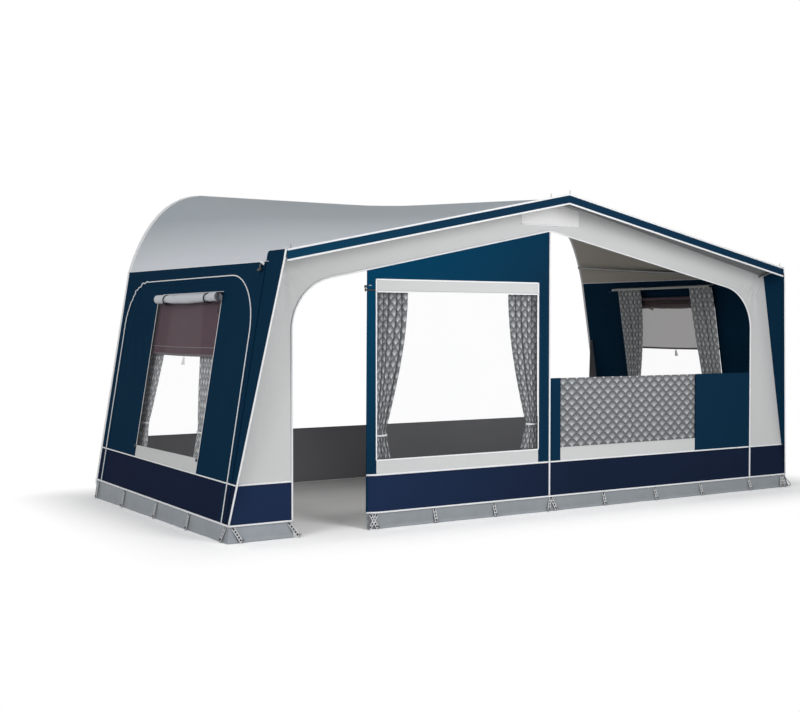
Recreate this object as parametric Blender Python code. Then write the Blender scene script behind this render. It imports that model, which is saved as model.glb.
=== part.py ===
"""A full caravan awning with its steel frame, in metres, +Z up.

The front wall's outer face lies at y = 0 of the root empty, the rail end at y = DEPTH.
The fabric pieces are thin closed solids; the poles are tubes that telescope.
"""

import math

import bmesh
import bpy
from mathutils import Vector

# Running gaps and wall thicknesses
GAP = 0.0003
FABRIC = 0.003
FOIL = 0.0016

# The awning's outline
DEPTH = 2.48
HALF_FRONT = 2.6
HALF_REAR = 2.705
BASE_Z = 0.11
EAVE_FRONT_Z = 1.815
EAVE_RISE = 0.02
RIDGE_FRONT_Z = 2.35
RAIL_Z = 2.5
WALL_LEAN_SHARE = 0.165
ROOF_SAG = 0.02

# The rail's corners: how far in from the base the flat top ends, and the point that pulls
# the curve, as (distance in from the base, distance below the rail)
RAIL_TOP_INSET = {"left": 0.905, "right": 0.755}
RAIL_PULL = {"left": (0.485, 0.03), "right": (0.435, 0.0)}
RAIL_CURVE_STEPS = 10
ROOF_STEPS_ACROSS = 16
ROOF_STEPS_BACK = 5
NORMAL_STEP_SHARE = 0.01

# The hood over the front wall, its valance and the wings at its ends
HOOD_OUT = 0.226
HOOD_APEX_RISE = 0.012
HOOD_EAVE_RISE = 0.065
VALANCE = 0.07
WING_LIP = 0.006
WING_TOP_RADIUS = 0.025
WING_ARC_STEPS = 4
WING_SEAM_TOP_Y = 0.03
WING_SEAM_BASE_Y = 0.06

# The front wall: band over the openings, leg panels, panels between
BAND_APEX_DEPTH = 0.242
BAND_EAVE_DEPTH = 0.189
LEG_PANEL_WIDTH = 0.445
FRONT_ARCH_RADIUS = 0.36
ARC_STEPS = 8
NOTCH_CLEAR = 0.009
CORNER_NOTCH_CLEAR = 0.0265
DOORWAY_WIDTH = 0.575
WINDOW_ABOVE_BASE = 0.36
WINDOW_BELOW_BAND = 0.149
WINDOW_START_X = 0.107
MIDDLE_WINDOW_MARGIN = 0.07
RIGHT_WINDOW_WIDTH = 1.408
STANDING_HEIGHT = 0.89

# The side walls: arch-shaped zip panel with its window
ARCH_MARGIN_Y = (0.115, 0.11)
ARCH_BELOW_EAVE = 0.075
ARCH_RADIUS = 0.34
SIDE_WINDOW_MARGIN_Y = (0.505, 0.615)
SIDE_WINDOW_MARGIN_Z = (0.375, 0.14)

# Rolled storm blind outside each side window
STORM_RADIUS = 0.034
STORM_STRAP_RADIUS = 0.037
STORM_END_RADIUS = 0.027
STORM_BELOW_TOP = 0.01
STORM_START_OVERHANG = 0.02
STORM_END_INSET = 0.075
STORM_STRAP_SHARES = (0.167, 0.838)
STORM_STRAP_WIDTH = 0.014
STORM_HEADER = 0.045
STORM_HEADER_THICK = 0.004

# Roller blind inside each side window
ROLLER_RADIUS = 0.015
ROLLER_END_RADIUS = 0.02
ROLLER_END_WIDTH = 0.008
ROLLER_ABOVE_TOP = 0.055
ROLLER_OVERHANG = 0.06
BLIND_DROP = 0.42
BLIND_THICK = 0.002
BLIND_BAR = (0.009, 0.022)

# Curtain tracks and curtains
TRACK_REACH = 0.065
TRACK_LIP = 0.012
TRACK_DROP = 0.018
TRACK_PLATE = 0.006
SIDE_TRACK_BELOW_EAVE = 0.045
SIDE_TRACK_OVERHANG_Y = (0.02, 0.19)
MIDDLE_TRACK_ABOVE = 0.045
MIDDLE_TRACK_OVERHANG = 0.055
CURTAIN_CLOTH = 0.003
CURTAIN_WAVE = 0.014
CURTAIN_TIE_ABOVE_BASE = 0.55
CURTAIN_ABOVE_BASE = 0.365
CURTAIN_PAST_REAR = {"left": 0.17, "right": 0.11}
MIDDLE_CURTAIN_PAST = 0.045
CURTAIN_FOLDS = 4
CURTAIN_POINTS_A_FOLD = 4
CURTAIN_LEVELS = 9

# Each gathered curtain's width at its track, at its tie and at its hem
CURTAIN_WIDTHS = {
    "middle_curtain_left": (0.3, 0.135, 0.16),
    "middle_curtain_right": (0.27, 0.105, 0.155),
    "curtain_left_front": (0.45, 0.22, 0.23),
    "curtain_left_rear": (0.3, 0.17, 0.2),
    "curtain_right_front": (0.25, 0.19, 0.2),
    "curtain_right_rear": (0.33, 0.1, 0.14),
}

# The drawn curtain behind the right-hand window
DRAWN_DEPTH = 0.011
DRAWN_CLOTH = 0.003
DRAWN_OVERHANG = 0.02
DRAWN_FOLDS = 14
DRAWN_POINTS_A_FOLD = 4

# The right-hand panel's upper half, folded down inside over the veranda rail
VERANDA_BELOW_TOP = 0.015
VERANDA_RADIUS = 0.011
VERANDA_OVERHANG = 0.016
FOLD_LEG_CLEAR = 0.009
FOLD_SIDE_MARGIN = 0.095
FOLD_LAP = 0.01
FOLD_ARCH_SHARES = ((1.0, 0.955), (0.961, 0.992), (0.898, 1.005), (0.767, 1.0))

# Mud flaps with their rubber ladders and pegs
FLARE = 0.02
LADDER_WIDTH = 0.016
LADDER_THICK = 0.004
LADDER_TOP_Z = 0.06
LADDER_LOW_Z = 0.014
LADDER_OUT = 0.038
LADDER_SINK = 0.0015
PEG_RADIUS = 0.003
PEG_HEAD_Z = 0.034
PEG_HOOK_OUT = 0.016
PEG_HOOK_DROP = 0.01
PEG_END_MARGIN = 0.05
LEFT_PEG_SHARES = (0.1, 1.0)
RIGHT_PEG_SHARES = (0.0, 0.12, 0.247, 0.377, 0.504, 0.636, 0.76, 0.9, 1.0)
SIDE_PEG_SHARES = (0.024, 0.25, 0.484, 0.742, 0.976)

# The skirt against the caravan
SKIRT_INSET = 0.04
SKIRT_Z = 0.48
SKIRT_GUSSET_Z = 1.25
SKIRT_GUSSET_WIDTH = (0.18, 0.03)

# Bead strip in the rail: flat web, round bead
BEAD_WEB = 0.016
BEAD_RADIUS = 0.004

# Steel frame
TUBE_SIDES = 12
LEG_Y = 0.056
LEG_INSET = 0.06
OUTER_RADIUS = 0.014
BORE_RADIUS = 0.0115
INNER_RADIUS = 0.011
LEG_SPLIT_Z = 0.8
LEG_LAP = 0.35
CENTRE_SPLIT_Z = 0.9
TUBE_END = 0.03
FOOT_RADIUS = 0.021
FOOT_HEIGHT = 0.03
COLLAR_RADIUS = 0.02
COLLAR_LENGTH = 0.05
BOSS_RADIUS = 0.009
BOSS_LENGTH = 0.005
KNOB_RADIUS = 0.017
KNOB_LENGTH = 0.024
KNOB_LOBE_SHARE = 0.16
KNOB_LOBES = 3
KNOB_SIDES = 24
RAFTER_RADIUS = 0.0125
ELBOW_RADIUS = 0.018
ELBOW_HEIGHT = 0.048
APEX_HALF = 0.03
APEX_THICK = 0.03
APEX_DEPTH = 0.0875
HOOD_POLE_RADIUS = 0.006
HOOD_POLE_SIDES = 8
HOOD_POLE_SHORT = 0.02
HOOD_POLE_CLEAR = 0.009
HOOD_POLE_TOE_IN = 0.018
CORNER_POLE_DROP = 0.02
APEX_POLE_DROP = 0.035
ROOF_POLE_SPLIT_SHARES = (0.42, 0.62)
ROOF_POLE_CLEAR = 0.018
ROOF_POLE_REAR = 0.03
SIDE_POLE_SHARE = 0.9375
HOOK_RADIUS = 0.0125
HOOK_LENGTH = 0.035

# Places worked out from the sizes above; a tube's flats lie at FLAT_SHARE of its radius
FLAT_SHARE = math.cos(math.pi / TUBE_SIDES)
FRONT_TAPER_SHARE = (HALF_REAR - HALF_FRONT) / DEPTH
ROOT_Y = (HOOD_OUT - DEPTH - 2 * BEAD_RADIUS - BEAD_WEB - GAP) / 2
HOOD_APEX_Z = RIDGE_FRONT_Z + HOOD_APEX_RISE
HOOD_EAVE_Z = EAVE_FRONT_Z + HOOD_EAVE_RISE
EAVE_REAR_Z = EAVE_FRONT_Z + EAVE_RISE
LEG_PANEL_X = HALF_FRONT - LEG_PANEL_WIDTH
MIDDLE_X = LEG_PANEL_X - DOORWAY_WIDTH
MIDDLE_WINDOW_X = (WINDOW_START_X, MIDDLE_X - MIDDLE_WINDOW_MARGIN)
RIGHT_WINDOW_X = (WINDOW_START_X, WINDOW_START_X + RIGHT_WINDOW_WIDTH)
WINDOW_LOW_Z = BASE_Z + WINDOW_ABOVE_BASE
FOLD_Z = BASE_Z + STANDING_HEIGHT
ARCH_Y = (ARCH_MARGIN_Y[0], DEPTH - ARCH_MARGIN_Y[1])
ARCH_TOP_Z = EAVE_FRONT_Z - ARCH_BELOW_EAVE
SIDE_WINDOW_Y = (ARCH_Y[0] + SIDE_WINDOW_MARGIN_Y[0], ARCH_Y[1] - SIDE_WINDOW_MARGIN_Y[1])
SIDE_WINDOW_Z = (BASE_Z + SIDE_WINDOW_MARGIN_Z[0], ARCH_TOP_Z - SIDE_WINDOW_MARGIN_Z[1])
STORM_Z = SIDE_WINDOW_Z[1] - STORM_BELOW_TOP
ROLLER_Z = SIDE_WINDOW_Z[1] + ROLLER_ABOVE_TOP
BLIND_LOW_Z = SIDE_WINDOW_Z[1] - BLIND_DROP
SIDE_TRACK_Z = EAVE_FRONT_Z - SIDE_TRACK_BELOW_EAVE
SIDE_TRACK_Y = (SIDE_WINDOW_Y[0] - SIDE_TRACK_OVERHANG_Y[0], SIDE_WINDOW_Y[1] + SIDE_TRACK_OVERHANG_Y[1])
MIDDLE_TRACK_X = (WINDOW_START_X - MIDDLE_TRACK_OVERHANG, MIDDLE_WINDOW_X[1] + MIDDLE_TRACK_OVERHANG)
CURTAIN_TIE_Z = BASE_Z + CURTAIN_TIE_ABOVE_BASE
CURTAIN_LOW_Z = BASE_Z + CURTAIN_ABOVE_BASE
VERANDA_Z = FOLD_Z - VERANDA_BELOW_TOP
VERANDA_Y = LEG_Y - FLAT_SHARE * (OUTER_RADIUS + VERANDA_RADIUS) - GAP
FOLD_X = (FOOT_RADIUS + FOLD_LEG_CLEAR, LEG_PANEL_X - FOLD_SIDE_MARGIN)
SKIRT_Y = DEPTH - SKIRT_INSET
APEX_Y = (LEG_Y - APEX_THICK / 2, LEG_Y + APEX_THICK / 2)
APEX_LOW_Z = RIDGE_FRONT_Z - APEX_DEPTH
CENTRE_LEG_TOP_Z = APEX_LOW_Z - GAP
SIDES = {"left": -1, "right": 1}

COLOURS = {
    "canvas_grey": ((0.56, 0.56, 0.55), 0.85, 0.0),
    "canvas_blue": ((0.01, 0.045, 0.11), 0.85, 0.0),
    "flap_grey": ((0.27, 0.29, 0.31), 0.7, 0.0),
    "foil_clear": ((0.8, 0.82, 0.82), 0.1, 0.0),
    "curtain_grey": ((0.42, 0.43, 0.43), 0.9, 0.0),
    "blind_mauve": ((0.13, 0.08, 0.1), 0.8, 0.0),
    "trim_white": ((0.85, 0.86, 0.88), 0.5, 0.0),
    "skirt_grey": ((0.07, 0.07, 0.075), 0.8, 0.0),
    "steel": ((0.5, 0.51, 0.52), 0.35, 0.9),
    "plastic_dark": ((0.05, 0.05, 0.055), 0.5, 0.0),
}


def clear_scene():
    for obj in list(bpy.data.objects):
        bpy.data.objects.remove(obj, do_unlink=True)


def material(key):
    found = bpy.data.materials.get(key)
    if found:
        return found
    colour, roughness, metallic = COLOURS[key]
    made = bpy.data.materials.new(key)
    made.use_nodes = True
    shader = made.node_tree.nodes["Principled BSDF"]
    shader.inputs["Base Color"].default_value = (*colour, 1.0)
    shader.inputs["Roughness"].default_value = roughness
    shader.inputs["Metallic"].default_value = metallic
    return made


def empty(name, location, parent=None):
    made = bpy.data.objects.new(name, None)
    made.location = location
    made.parent = parent
    bpy.context.scene.collection.objects.link(made)
    return made


def finish(name, bm, finish_key, parent, smooth=False):
    """Turns the mesh under work into a named object, with its faces pointing out."""
    bmesh.ops.recalc_face_normals(bm, faces=bm.faces)
    origin = parent.matrix_world.translation - ROOT.matrix_world.translation
    for vert in bm.verts:
        vert.co -= origin
    mesh = bpy.data.meshes.new(name)
    bm.to_mesh(mesh)
    bm.free()
    if smooth:
        mesh.shade_smooth()
        mesh.set_sharp_from_angle(angle=math.radians(35))
    mesh.materials.append(material(finish_key))
    obj = bpy.data.objects.new(name, mesh)
    obj.parent = parent
    bpy.context.scene.collection.objects.link(obj)
    return obj


def joint_empty(name, at):
    made = empty(name, at, ROOT)
    bpy.context.view_layer.update()
    return made


# Points on the awning's surfaces


def lerp(a, b, share):
    return a + (b - a) * share


def wall_point(side, y, z, inset=0.0):
    """A point of a side wall's outer plane, moved inwards along the plane's normal."""
    across = HALF_FRONT + FRONT_TAPER_SHARE * y - WALL_LEAN_SHARE * (z - BASE_Z)
    normal = Vector((1, -FRONT_TAPER_SHARE, WALL_LEAN_SHARE)).normalized()
    x = across - inset * normal.x
    return Vector((side * x, y - inset * normal.y, z - inset * normal.z))


def wall_x(y, z, inset=0.0):
    """Half the width inside the wall, at a height and a depth."""
    across = HALF_FRONT + FRONT_TAPER_SHARE * y - WALL_LEAN_SHARE * (z - BASE_Z)
    return across - inset * Vector((1, FRONT_TAPER_SHARE, WALL_LEAN_SHARE)).length


def eave_z(y):
    return lerp(EAVE_FRONT_Z, EAVE_REAR_Z, y / DEPTH)


def roof_front_z(x):
    """Height of the roof's outer face over the front wall."""
    end = wall_x(0, EAVE_FRONT_Z, FABRIC + GAP)
    return lerp(RIDGE_FRONT_Z, EAVE_FRONT_Z, abs(x) / end)


def roof_cosine():
    end = wall_x(0, EAVE_FRONT_Z, FABRIC + GAP)
    return end / math.hypot(end, RIDGE_FRONT_Z - EAVE_FRONT_Z)


def below_roof_z(x, drop):
    """Height at a distance below the roof's outer face, measured square to it."""
    return roof_front_z(x) - drop / roof_cosine()


def hood_front_z(x):
    end = wall_x(-HOOD_OUT, HOOD_EAVE_Z, FABRIC + GAP)
    return lerp(HOOD_APEX_Z, HOOD_EAVE_Z, abs(x) / end)


def band_z(x):
    """Lower line of the gable band, before its rounded corner."""
    end = wall_x(0, EAVE_FRONT_Z, FABRIC + GAP)
    return roof_front_z(x) - lerp(BAND_APEX_DEPTH, BAND_EAVE_DEPTH, abs(x) / end)


def front_window_z():
    """Bottom and top of the closed panel's window."""
    return WINDOW_LOW_Z, band_z(MIDDLE_X) - WINDOW_BELOW_BAND


def frame_corner():
    """Where a corner leg's axis meets the gable pole's axis, as (x, z)."""
    end = wall_x(0, EAVE_FRONT_Z, FABRIC + GAP)
    pitch = (RIDGE_FRONT_Z - EAVE_FRONT_Z) / end
    foot = HALF_FRONT - LEG_INSET + WALL_LEAN_SHARE * BASE_Z
    middle = below_roof_z(0, FABRIC + GAP + RAFTER_RADIUS)
    z = (middle - pitch * foot) / (1 - pitch * WALL_LEAN_SHARE)
    return foot - WALL_LEAN_SHARE * z, z


def rail_path(side_name, inset):
    """The rail from its middle to the rear eave, as (x, z), for one side."""
    pull_in, pull_down = RAIL_PULL[side_name]
    pull = Vector((HALF_REAR - pull_in, RAIL_Z - pull_down))
    top = Vector((HALF_REAR - RAIL_TOP_INSET[side_name], RAIL_Z))
    eave = Vector((wall_x(DEPTH, EAVE_REAR_Z, inset), EAVE_REAR_Z))
    path = [Vector((GAP / 2, RAIL_Z)), top]
    for step in range(1, RAIL_CURVE_STEPS + 1):
        share = step / RAIL_CURVE_STEPS
        path.append(top * (1 - share) ** 2 + pull * 2 * share * (1 - share) + eave * share**2)
    return path


def along(path, share):
    """The point at a share of a path's length."""
    lengths = [(b - a).length for a, b in zip(path, path[1:])]
    left = share * sum(lengths)
    for a, b, length in zip(path, path[1:], lengths):
        if left <= length:
            return a.lerp(b, left / length)
        left -= length
    return path[-1].copy()


def fillet(before, corner, after, radius, steps=ARC_STEPS):
    """Points of an arc that rounds a corner between two straight lines."""
    before, corner, after = Vector(before), Vector(corner), Vector(after)
    back = (before - corner).normalized()
    on = (after - corner).normalized()
    half = back.angle(on) / 2
    centre = corner + (back + on).normalized() * (radius / math.sin(half))
    start = corner + back * (radius / math.tan(half)) - centre
    end = corner + on * (radius / math.tan(half)) - centre
    turn = start.angle(end)
    points = []
    for step in range(steps + 1):
        share = step / steps
        a = math.sin((1 - share) * turn) / math.sin(turn)
        b = math.sin(share * turn) / math.sin(turn)
        points.append(tuple(centre + start * a + end * b))
    return points


# Solids


def plate(loops, near, far, place):
    """A flat plate with holes, filled between its loops; place(u, v, depth) gives a point."""
    bm = bmesh.new()
    layers = []
    for depth in (near, far):
        layers.append([[bm.verts.new(place(u, v, depth)) for u, v in loop] for loop in loops])
    for layer in layers:
        edges = []
        for loop in layer:
            edges += [bm.edges.new((a, b)) for a, b in zip(loop, loop[1:] + loop[:1])]
        bmesh.ops.triangle_fill(bm, use_beauty=True, edges=edges)
    for first, second in zip(*layers):
        for i, vert in enumerate(first):
            j = (i + 1) % len(first)
            bm.faces.new((vert, first[j], second[j], second[i]))
    return bm


def front_place(side=1):
    return lambda x, z, y: Vector((side * x, y, z))


def wall_place(side):
    return lambda y, z, inset: wall_point(side, y, z, inset)


def sheet(outer, inner):
    """A closed solid between two grids of points of the same size."""
    bm = bmesh.new()
    rows = [[[bm.verts.new(point) for point in row] for row in grid] for grid in (outer, inner)]
    tall, wide = len(outer), len(outer[0])
    for grid in rows:
        for i in range(tall - 1):
            for j in range(wide - 1):
                bm.faces.new((grid[i][j], grid[i][j + 1], grid[i + 1][j + 1], grid[i + 1][j]))
    rim = [(0, j) for j in range(wide)]
    rim += [(i, wide - 1) for i in range(1, tall)]
    rim += [(tall - 1, j) for j in range(wide - 2, -1, -1)]
    rim += [(i, 0) for i in range(tall - 2, 0, -1)]
    for (a, b), (c, d) in zip(rim, rim[1:] + rim[:1]):
        bm.faces.new((rows[0][a][b], rows[0][c][d], rows[1][c][d], rows[1][a][b]))
    return bm


def loft(sections, bm=None):
    """A closed solid through sections of equal length, with flat ends."""
    bm = bm or bmesh.new()
    rings = [[bm.verts.new(point) for point in section] for section in sections]
    count = len(sections[0])
    for first, second in zip(rings, rings[1:]):
        for i in range(count):
            j = (i + 1) % count
            bm.faces.new((first[i], first[j], second[j], second[i]))
    bm.faces.new(rings[0][::-1])
    bm.faces.new(rings[-1])
    return bm


def axes_about(direction):
    """Two directions square to a third."""
    along_axis = direction.normalized()
    across = along_axis.cross(Vector((0, 1, 0)))
    if across.length < 0.5:
        across = along_axis.cross(Vector((1, 0, 0)))
    across.normalize()
    return across, along_axis.cross(across)


def turned(profile, start, end, sides=TUBE_SIDES, bm=None):
    """A profile of (distance from start, radius), turned about the line from start to end.

    The profile begins and ends on the line, where its radius is zero.
    """
    bm = bm or bmesh.new()
    direction = (end - start).normalized()
    u, v = axes_about(direction)
    rings = []
    for distance, radius in profile:
        centre = start + direction * distance
        if radius == 0:
            rings.append([bm.verts.new(centre)])
            continue
        ring = []
        for k in range(sides):
            angle = 2 * math.pi * (k + 0.5) / sides
            ring.append(bm.verts.new(centre + (u * math.cos(angle) + v * math.sin(angle)) * radius))
        rings.append(ring)
    for first, second in zip(rings, rings[1:]):
        for i in range(sides):
            j = (i + 1) % sides
            corners = [first[i % len(first)], first[j % len(first)]]
            corners += [second[j % len(second)], second[i % len(second)]]
            bm.faces.new(list(dict.fromkeys(corners)))
    return bm


def rod(start, end, radius, sides=TUBE_SIDES, bm=None):
    length = (end - start).length
    return turned([(0, 0), (0, radius), (length, radius), (length, 0)], start, end, sides, bm)


def wire(points, radius, sides=6, bm=None):
    """A bent round wire through points in one upright plane."""
    bm = bm or bmesh.new()
    points = [Vector(p) for p in points]
    runs = [(b - a).normalized() for a, b in zip(points, points[1:])]
    side_axis = runs[0].cross(runs[1]).normalized()
    sections = []
    for i, point in enumerate(points):
        before = runs[max(i - 1, 0)]
        after = runs[min(i, len(runs) - 1)]
        middle = (before + after).normalized()
        across = middle.cross(side_axis).normalized()
        stretch = 1 / max(across.dot(before.cross(side_axis)), 0.5)
        ring = []
        for k in range(sides):
            angle = 2 * math.pi * (k + 0.5) / sides
            over = across * stretch * math.cos(angle) + side_axis * math.sin(angle)
            ring.append(point + over * radius)
        sections.append(ring)
    return loft(sections, bm)


def fuse(obj, cutter, name):
    """Joins another solid to this one; the other stays as a hidden guide."""
    cutter.hide_render = True
    cutter.display_type = "WIRE"
    step = obj.modifiers.new(name, "BOOLEAN")
    step.operation = "UNION"
    step.solver = "EXACT"
    step.object = cutter


# Roof, hood and wings


def roof_rise(y):
    """Share of the way from the gable poles back to the rail; the cloth is level before them."""
    return max(y - LEG_Y, 0) / (DEPTH - LEG_Y)


def roof_point(side_name, across, y, path):
    """A point of the roof's outer face, ruled from the straight gable line to the curved rail."""
    front_x = lerp(GAP / 2, wall_x(0, EAVE_FRONT_Z, FABRIC + GAP), across)
    rear = along(path, across)
    rise = roof_rise(y)
    sag = ROOF_SAG * math.sin(math.pi * across) * math.sin(math.pi * rise) ** 2
    z = lerp(roof_front_z(front_x), rear.y, rise) - sag
    return Vector((SIDES[side_name] * lerp(front_x, rear.x, y / DEPTH), y, z))


def roof_normal(side_name, across, y, path):
    low, high = max(across - NORMAL_STEP_SHARE, 0), min(across + NORMAL_STEP_SHARE, 1)
    over = roof_point(side_name, high, y, path) - roof_point(side_name, low, y, path)
    deep = roof_point(side_name, across, DEPTH, path) - roof_point(side_name, across, LEG_Y, path)
    normal = over.cross(deep) * SIDES[side_name]
    if across == 0:
        normal.x = 0
    if y <= LEG_Y or y == DEPTH:
        normal.y = 0
    return normal.normalized()


def roof_half(side_name):
    path = rail_path(side_name, FABRIC + GAP)
    outer = []
    inner = []
    for i in range(ROOF_STEPS_ACROSS + 1):
        across = i / ROOF_STEPS_ACROSS
        outer.append([])
        inner.append([])
        for y in [0] + [lerp(LEG_Y, DEPTH, j / ROOF_STEPS_BACK) for j in range(ROOF_STEPS_BACK + 1)]:
            point = roof_point(side_name, across, y, path)
            outer[-1].append(point)
            inner[-1].append(point - roof_normal(side_name, across, y, path) * FABRIC)
    finish(f"roof_{side_name}", sheet(outer, inner), "canvas_grey", ROOT, smooth=True)


def hood_half(side_name):
    """The hood's top and its hanging valance, one bent profile along the gable."""
    side = SIDES[side_name]
    sections = []
    for outer_end in (False, True):
        section = []
        profile = (
            (-GAP, 0, 0),
            (-HOOD_OUT, 0, 1),
            (-HOOD_OUT, VALANCE, 1),
            (-HOOD_OUT + FABRIC, VALANCE, 1),
            (-HOOD_OUT + FABRIC, FABRIC / roof_cosine(), 1),
            (-GAP, FABRIC / roof_cosine(), 0),
        )
        for y, drop, at_front in profile:
            line = hood_front_z if at_front else roof_front_z
            level = HOOD_EAVE_Z if at_front else EAVE_FRONT_Z
            x = wall_x(y, level, FABRIC + GAP) if outer_end else GAP / 2
            section.append(Vector((side * x, y, line(x) - drop)))
        sections.append(section)
    finish(f"hood_{side_name}", loft(sections), "canvas_blue", ROOT)


def wing(side_name):
    """The triangular side of the hood, from its front edge down to the base piping."""
    top = HOOD_EAVE_Z + WING_LIP
    outline = [(-HOOD_OUT, top), (-HOOD_OUT, HOOD_EAVE_Z - VALANCE), (0, BASE_Z)]
    outline += [(WING_SEAM_BASE_Y, BASE_Z), (WING_SEAM_TOP_Y, EAVE_FRONT_Z)]
    seam_top = (WING_SEAM_TOP_Y, top)
    outline += fillet(outline[-1], seam_top, outline[0], WING_TOP_RADIUS, WING_ARC_STEPS)
    bm = plate([outline], 0, FABRIC, wall_place(SIDES[side_name]))
    finish(f"wing_{side_name}", bm, "canvas_blue", ROOT)


# Front wall


def front_arch():
    """The opening's edge from the middle of the band to the bottom of the leg panel."""
    corner = (LEG_PANEL_X, band_z(LEG_PANEL_X))
    points = [(GAP / 2, band_z(0))]
    points += fillet(points[0], corner, (LEG_PANEL_X, BASE_Z), FRONT_ARCH_RADIUS)
    return points


def front_frame(side_name):
    """Leg panel, rounded corner and half of the gable band, sewn as one piece."""
    side = SIDES[side_name]
    corner_x, corner_z = frame_corner()
    notch_x = corner_x - HOOD_POLE_RADIUS - CORNER_NOTCH_CLEAR
    notch_z = corner_z - CORNER_POLE_DROP - HOOD_POLE_RADIUS - NOTCH_CLEAR
    apex_half = HOOD_POLE_RADIUS + NOTCH_CLEAR
    apex_z = RIDGE_FRONT_Z - APEX_POLE_DROP - HOOD_POLE_RADIUS - NOTCH_CLEAR
    inset = FABRIC + 2 * GAP
    outline = front_arch()
    outline += [(LEG_PANEL_X, BASE_Z)]
    outline += [(wall_x(FABRIC, BASE_Z, inset) - FABRIC * FRONT_TAPER_SHARE, BASE_Z)]
    outline += [(wall_x(0, notch_z, inset), notch_z), (notch_x, notch_z)]
    outline += [(notch_x, below_roof_z(notch_x, FABRIC + GAP))]
    outline += [(apex_half, below_roof_z(apex_half, FABRIC + GAP))]
    outline += [(apex_half, apex_z), (GAP / 2, apex_z)]
    bm = plate([outline], 0, FABRIC, front_place(side))
    if side_name == "left":
        drop_flap(bm)
    frame = finish(f"front_frame_{side_name}", bm, "canvas_grey", ROOT)
    if side_name == "left":
        span = (LEG_PANEL_X, HALF_FRONT - PEG_END_MARGIN)
        add_pegs(frame, "left_front", [front_peg(side * lerp(*span, share)) for share in LEFT_PEG_SHARES])


def drop_flap(bm):
    """Draws the panel's bottom edge down to the ground as a flared mud flap."""
    low = [face for face in bm.faces if all(abs(v.co.z - BASE_Z) < GAP for v in face.verts)]
    made = bmesh.ops.extrude_face_region(bm, geom=low)
    verts = [item for item in made["geom"] if isinstance(item, bmesh.types.BMVert)]
    bmesh.ops.delete(bm, geom=low, context="FACES")
    bmesh.ops.translate(bm, verts=verts, vec=Vector((0, -FLARE, -BASE_Z)))


def middle_panel():
    """The closed panel beside the doorway, with its window, track and curtains."""
    hinge = joint_empty("middle_panel_fold", Vector((0, 0, BASE_Z)))
    base = BASE_Z + GAP
    outline = [(GAP / 2, base), (GAP / 2, band_z(0) - GAP)]
    outline += [(MIDDLE_X, band_z(MIDDLE_X) - GAP), (MIDDLE_X, base)]
    window_z = front_window_z()
    window = rectangle(MIDDLE_WINDOW_X, window_z)
    bm = plate([outline, window], 0, FABRIC, front_place(-1))
    finish("middle_panel", bm, "canvas_blue", hinge)
    pane = rectangle(MIDDLE_WINDOW_X, window_z, GAP)
    foil_depth = (FABRIC - FOIL) / 2
    bm = plate([pane], foil_depth, foil_depth + FOIL, front_place(-1))
    finish("middle_window", bm, "foil_clear", hinge)
    place = front_place(-1)
    track_z = window_z[1] + MIDDLE_TRACK_ABOVE
    track("middle_curtain_track", MIDDLE_TRACK_X, track_z, place, hinge)
    curtain("middle_curtain_right", MIDDLE_WINDOW_X[0] - MIDDLE_CURTAIN_PAST, 1, track_z, place)
    curtain("middle_curtain_left", MIDDLE_WINDOW_X[1], -1, track_z, place)


def rectangle(across, up, inset=0.0):
    low_u, high_u = across[0] + inset, across[1] - inset
    low_v, high_v = up[0] + inset, up[1] - inset
    return [(low_u, low_v), (high_u, low_v), (high_u, high_v), (low_u, high_v)]


def right_panel():
    """The half-open panel: its lower half stands, its upper half hangs folded inside."""
    low, high = RIGHT_WINDOW_X
    outer = LEG_PANEL_X - GAP
    base = BASE_Z + GAP
    outline = [(GAP / 2, base), (outer, base), (outer, FOLD_Z), (high, FOLD_Z), (high, WINDOW_LOW_Z)]
    outline += [(low, WINDOW_LOW_Z), (low, FOLD_Z), (GAP / 2, FOLD_Z)]
    finish("right_panel_lower", plate([outline], 0, FABRIC, front_place()), "canvas_blue", ROOT)
    pane = rectangle(RIGHT_WINDOW_X, (WINDOW_LOW_Z, FOLD_Z + GAP), GAP)
    foil_depth = (FABRIC - FOIL) / 2
    finish("right_window", plate([pane], foil_depth, foil_depth + FOIL, front_place()), "foil_clear", ROOT)
    drawn_curtain()


def drawn_curtain():
    """The drawn curtain behind the right-hand window, in shallow folds."""
    low, high = RIGHT_WINDOW_X[0] - DRAWN_OVERHANG, RIGHT_WINDOW_X[1] + DRAWN_OVERHANG
    steps = DRAWN_FOLDS * DRAWN_POINTS_A_FOLD
    middle = FABRIC + GAP + DRAWN_DEPTH / 2
    reach = (DRAWN_DEPTH - DRAWN_CLOTH) / 2
    grids = []
    for face in (-1, 1):
        grid = []
        for z in (WINDOW_LOW_Z, FOLD_Z):
            row = []
            for k in range(steps + 1):
                wave = math.sin(2 * math.pi * k / DRAWN_POINTS_A_FOLD)
                y = middle + reach * wave + face * DRAWN_CLOTH / 2
                row.append(Vector((lerp(low, high, k / steps), y, z)))
            grid.append(row)
        grids.append(grid)
    finish("right_curtain", sheet(*grids), "curtain_grey", ROOT, smooth=True)


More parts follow.
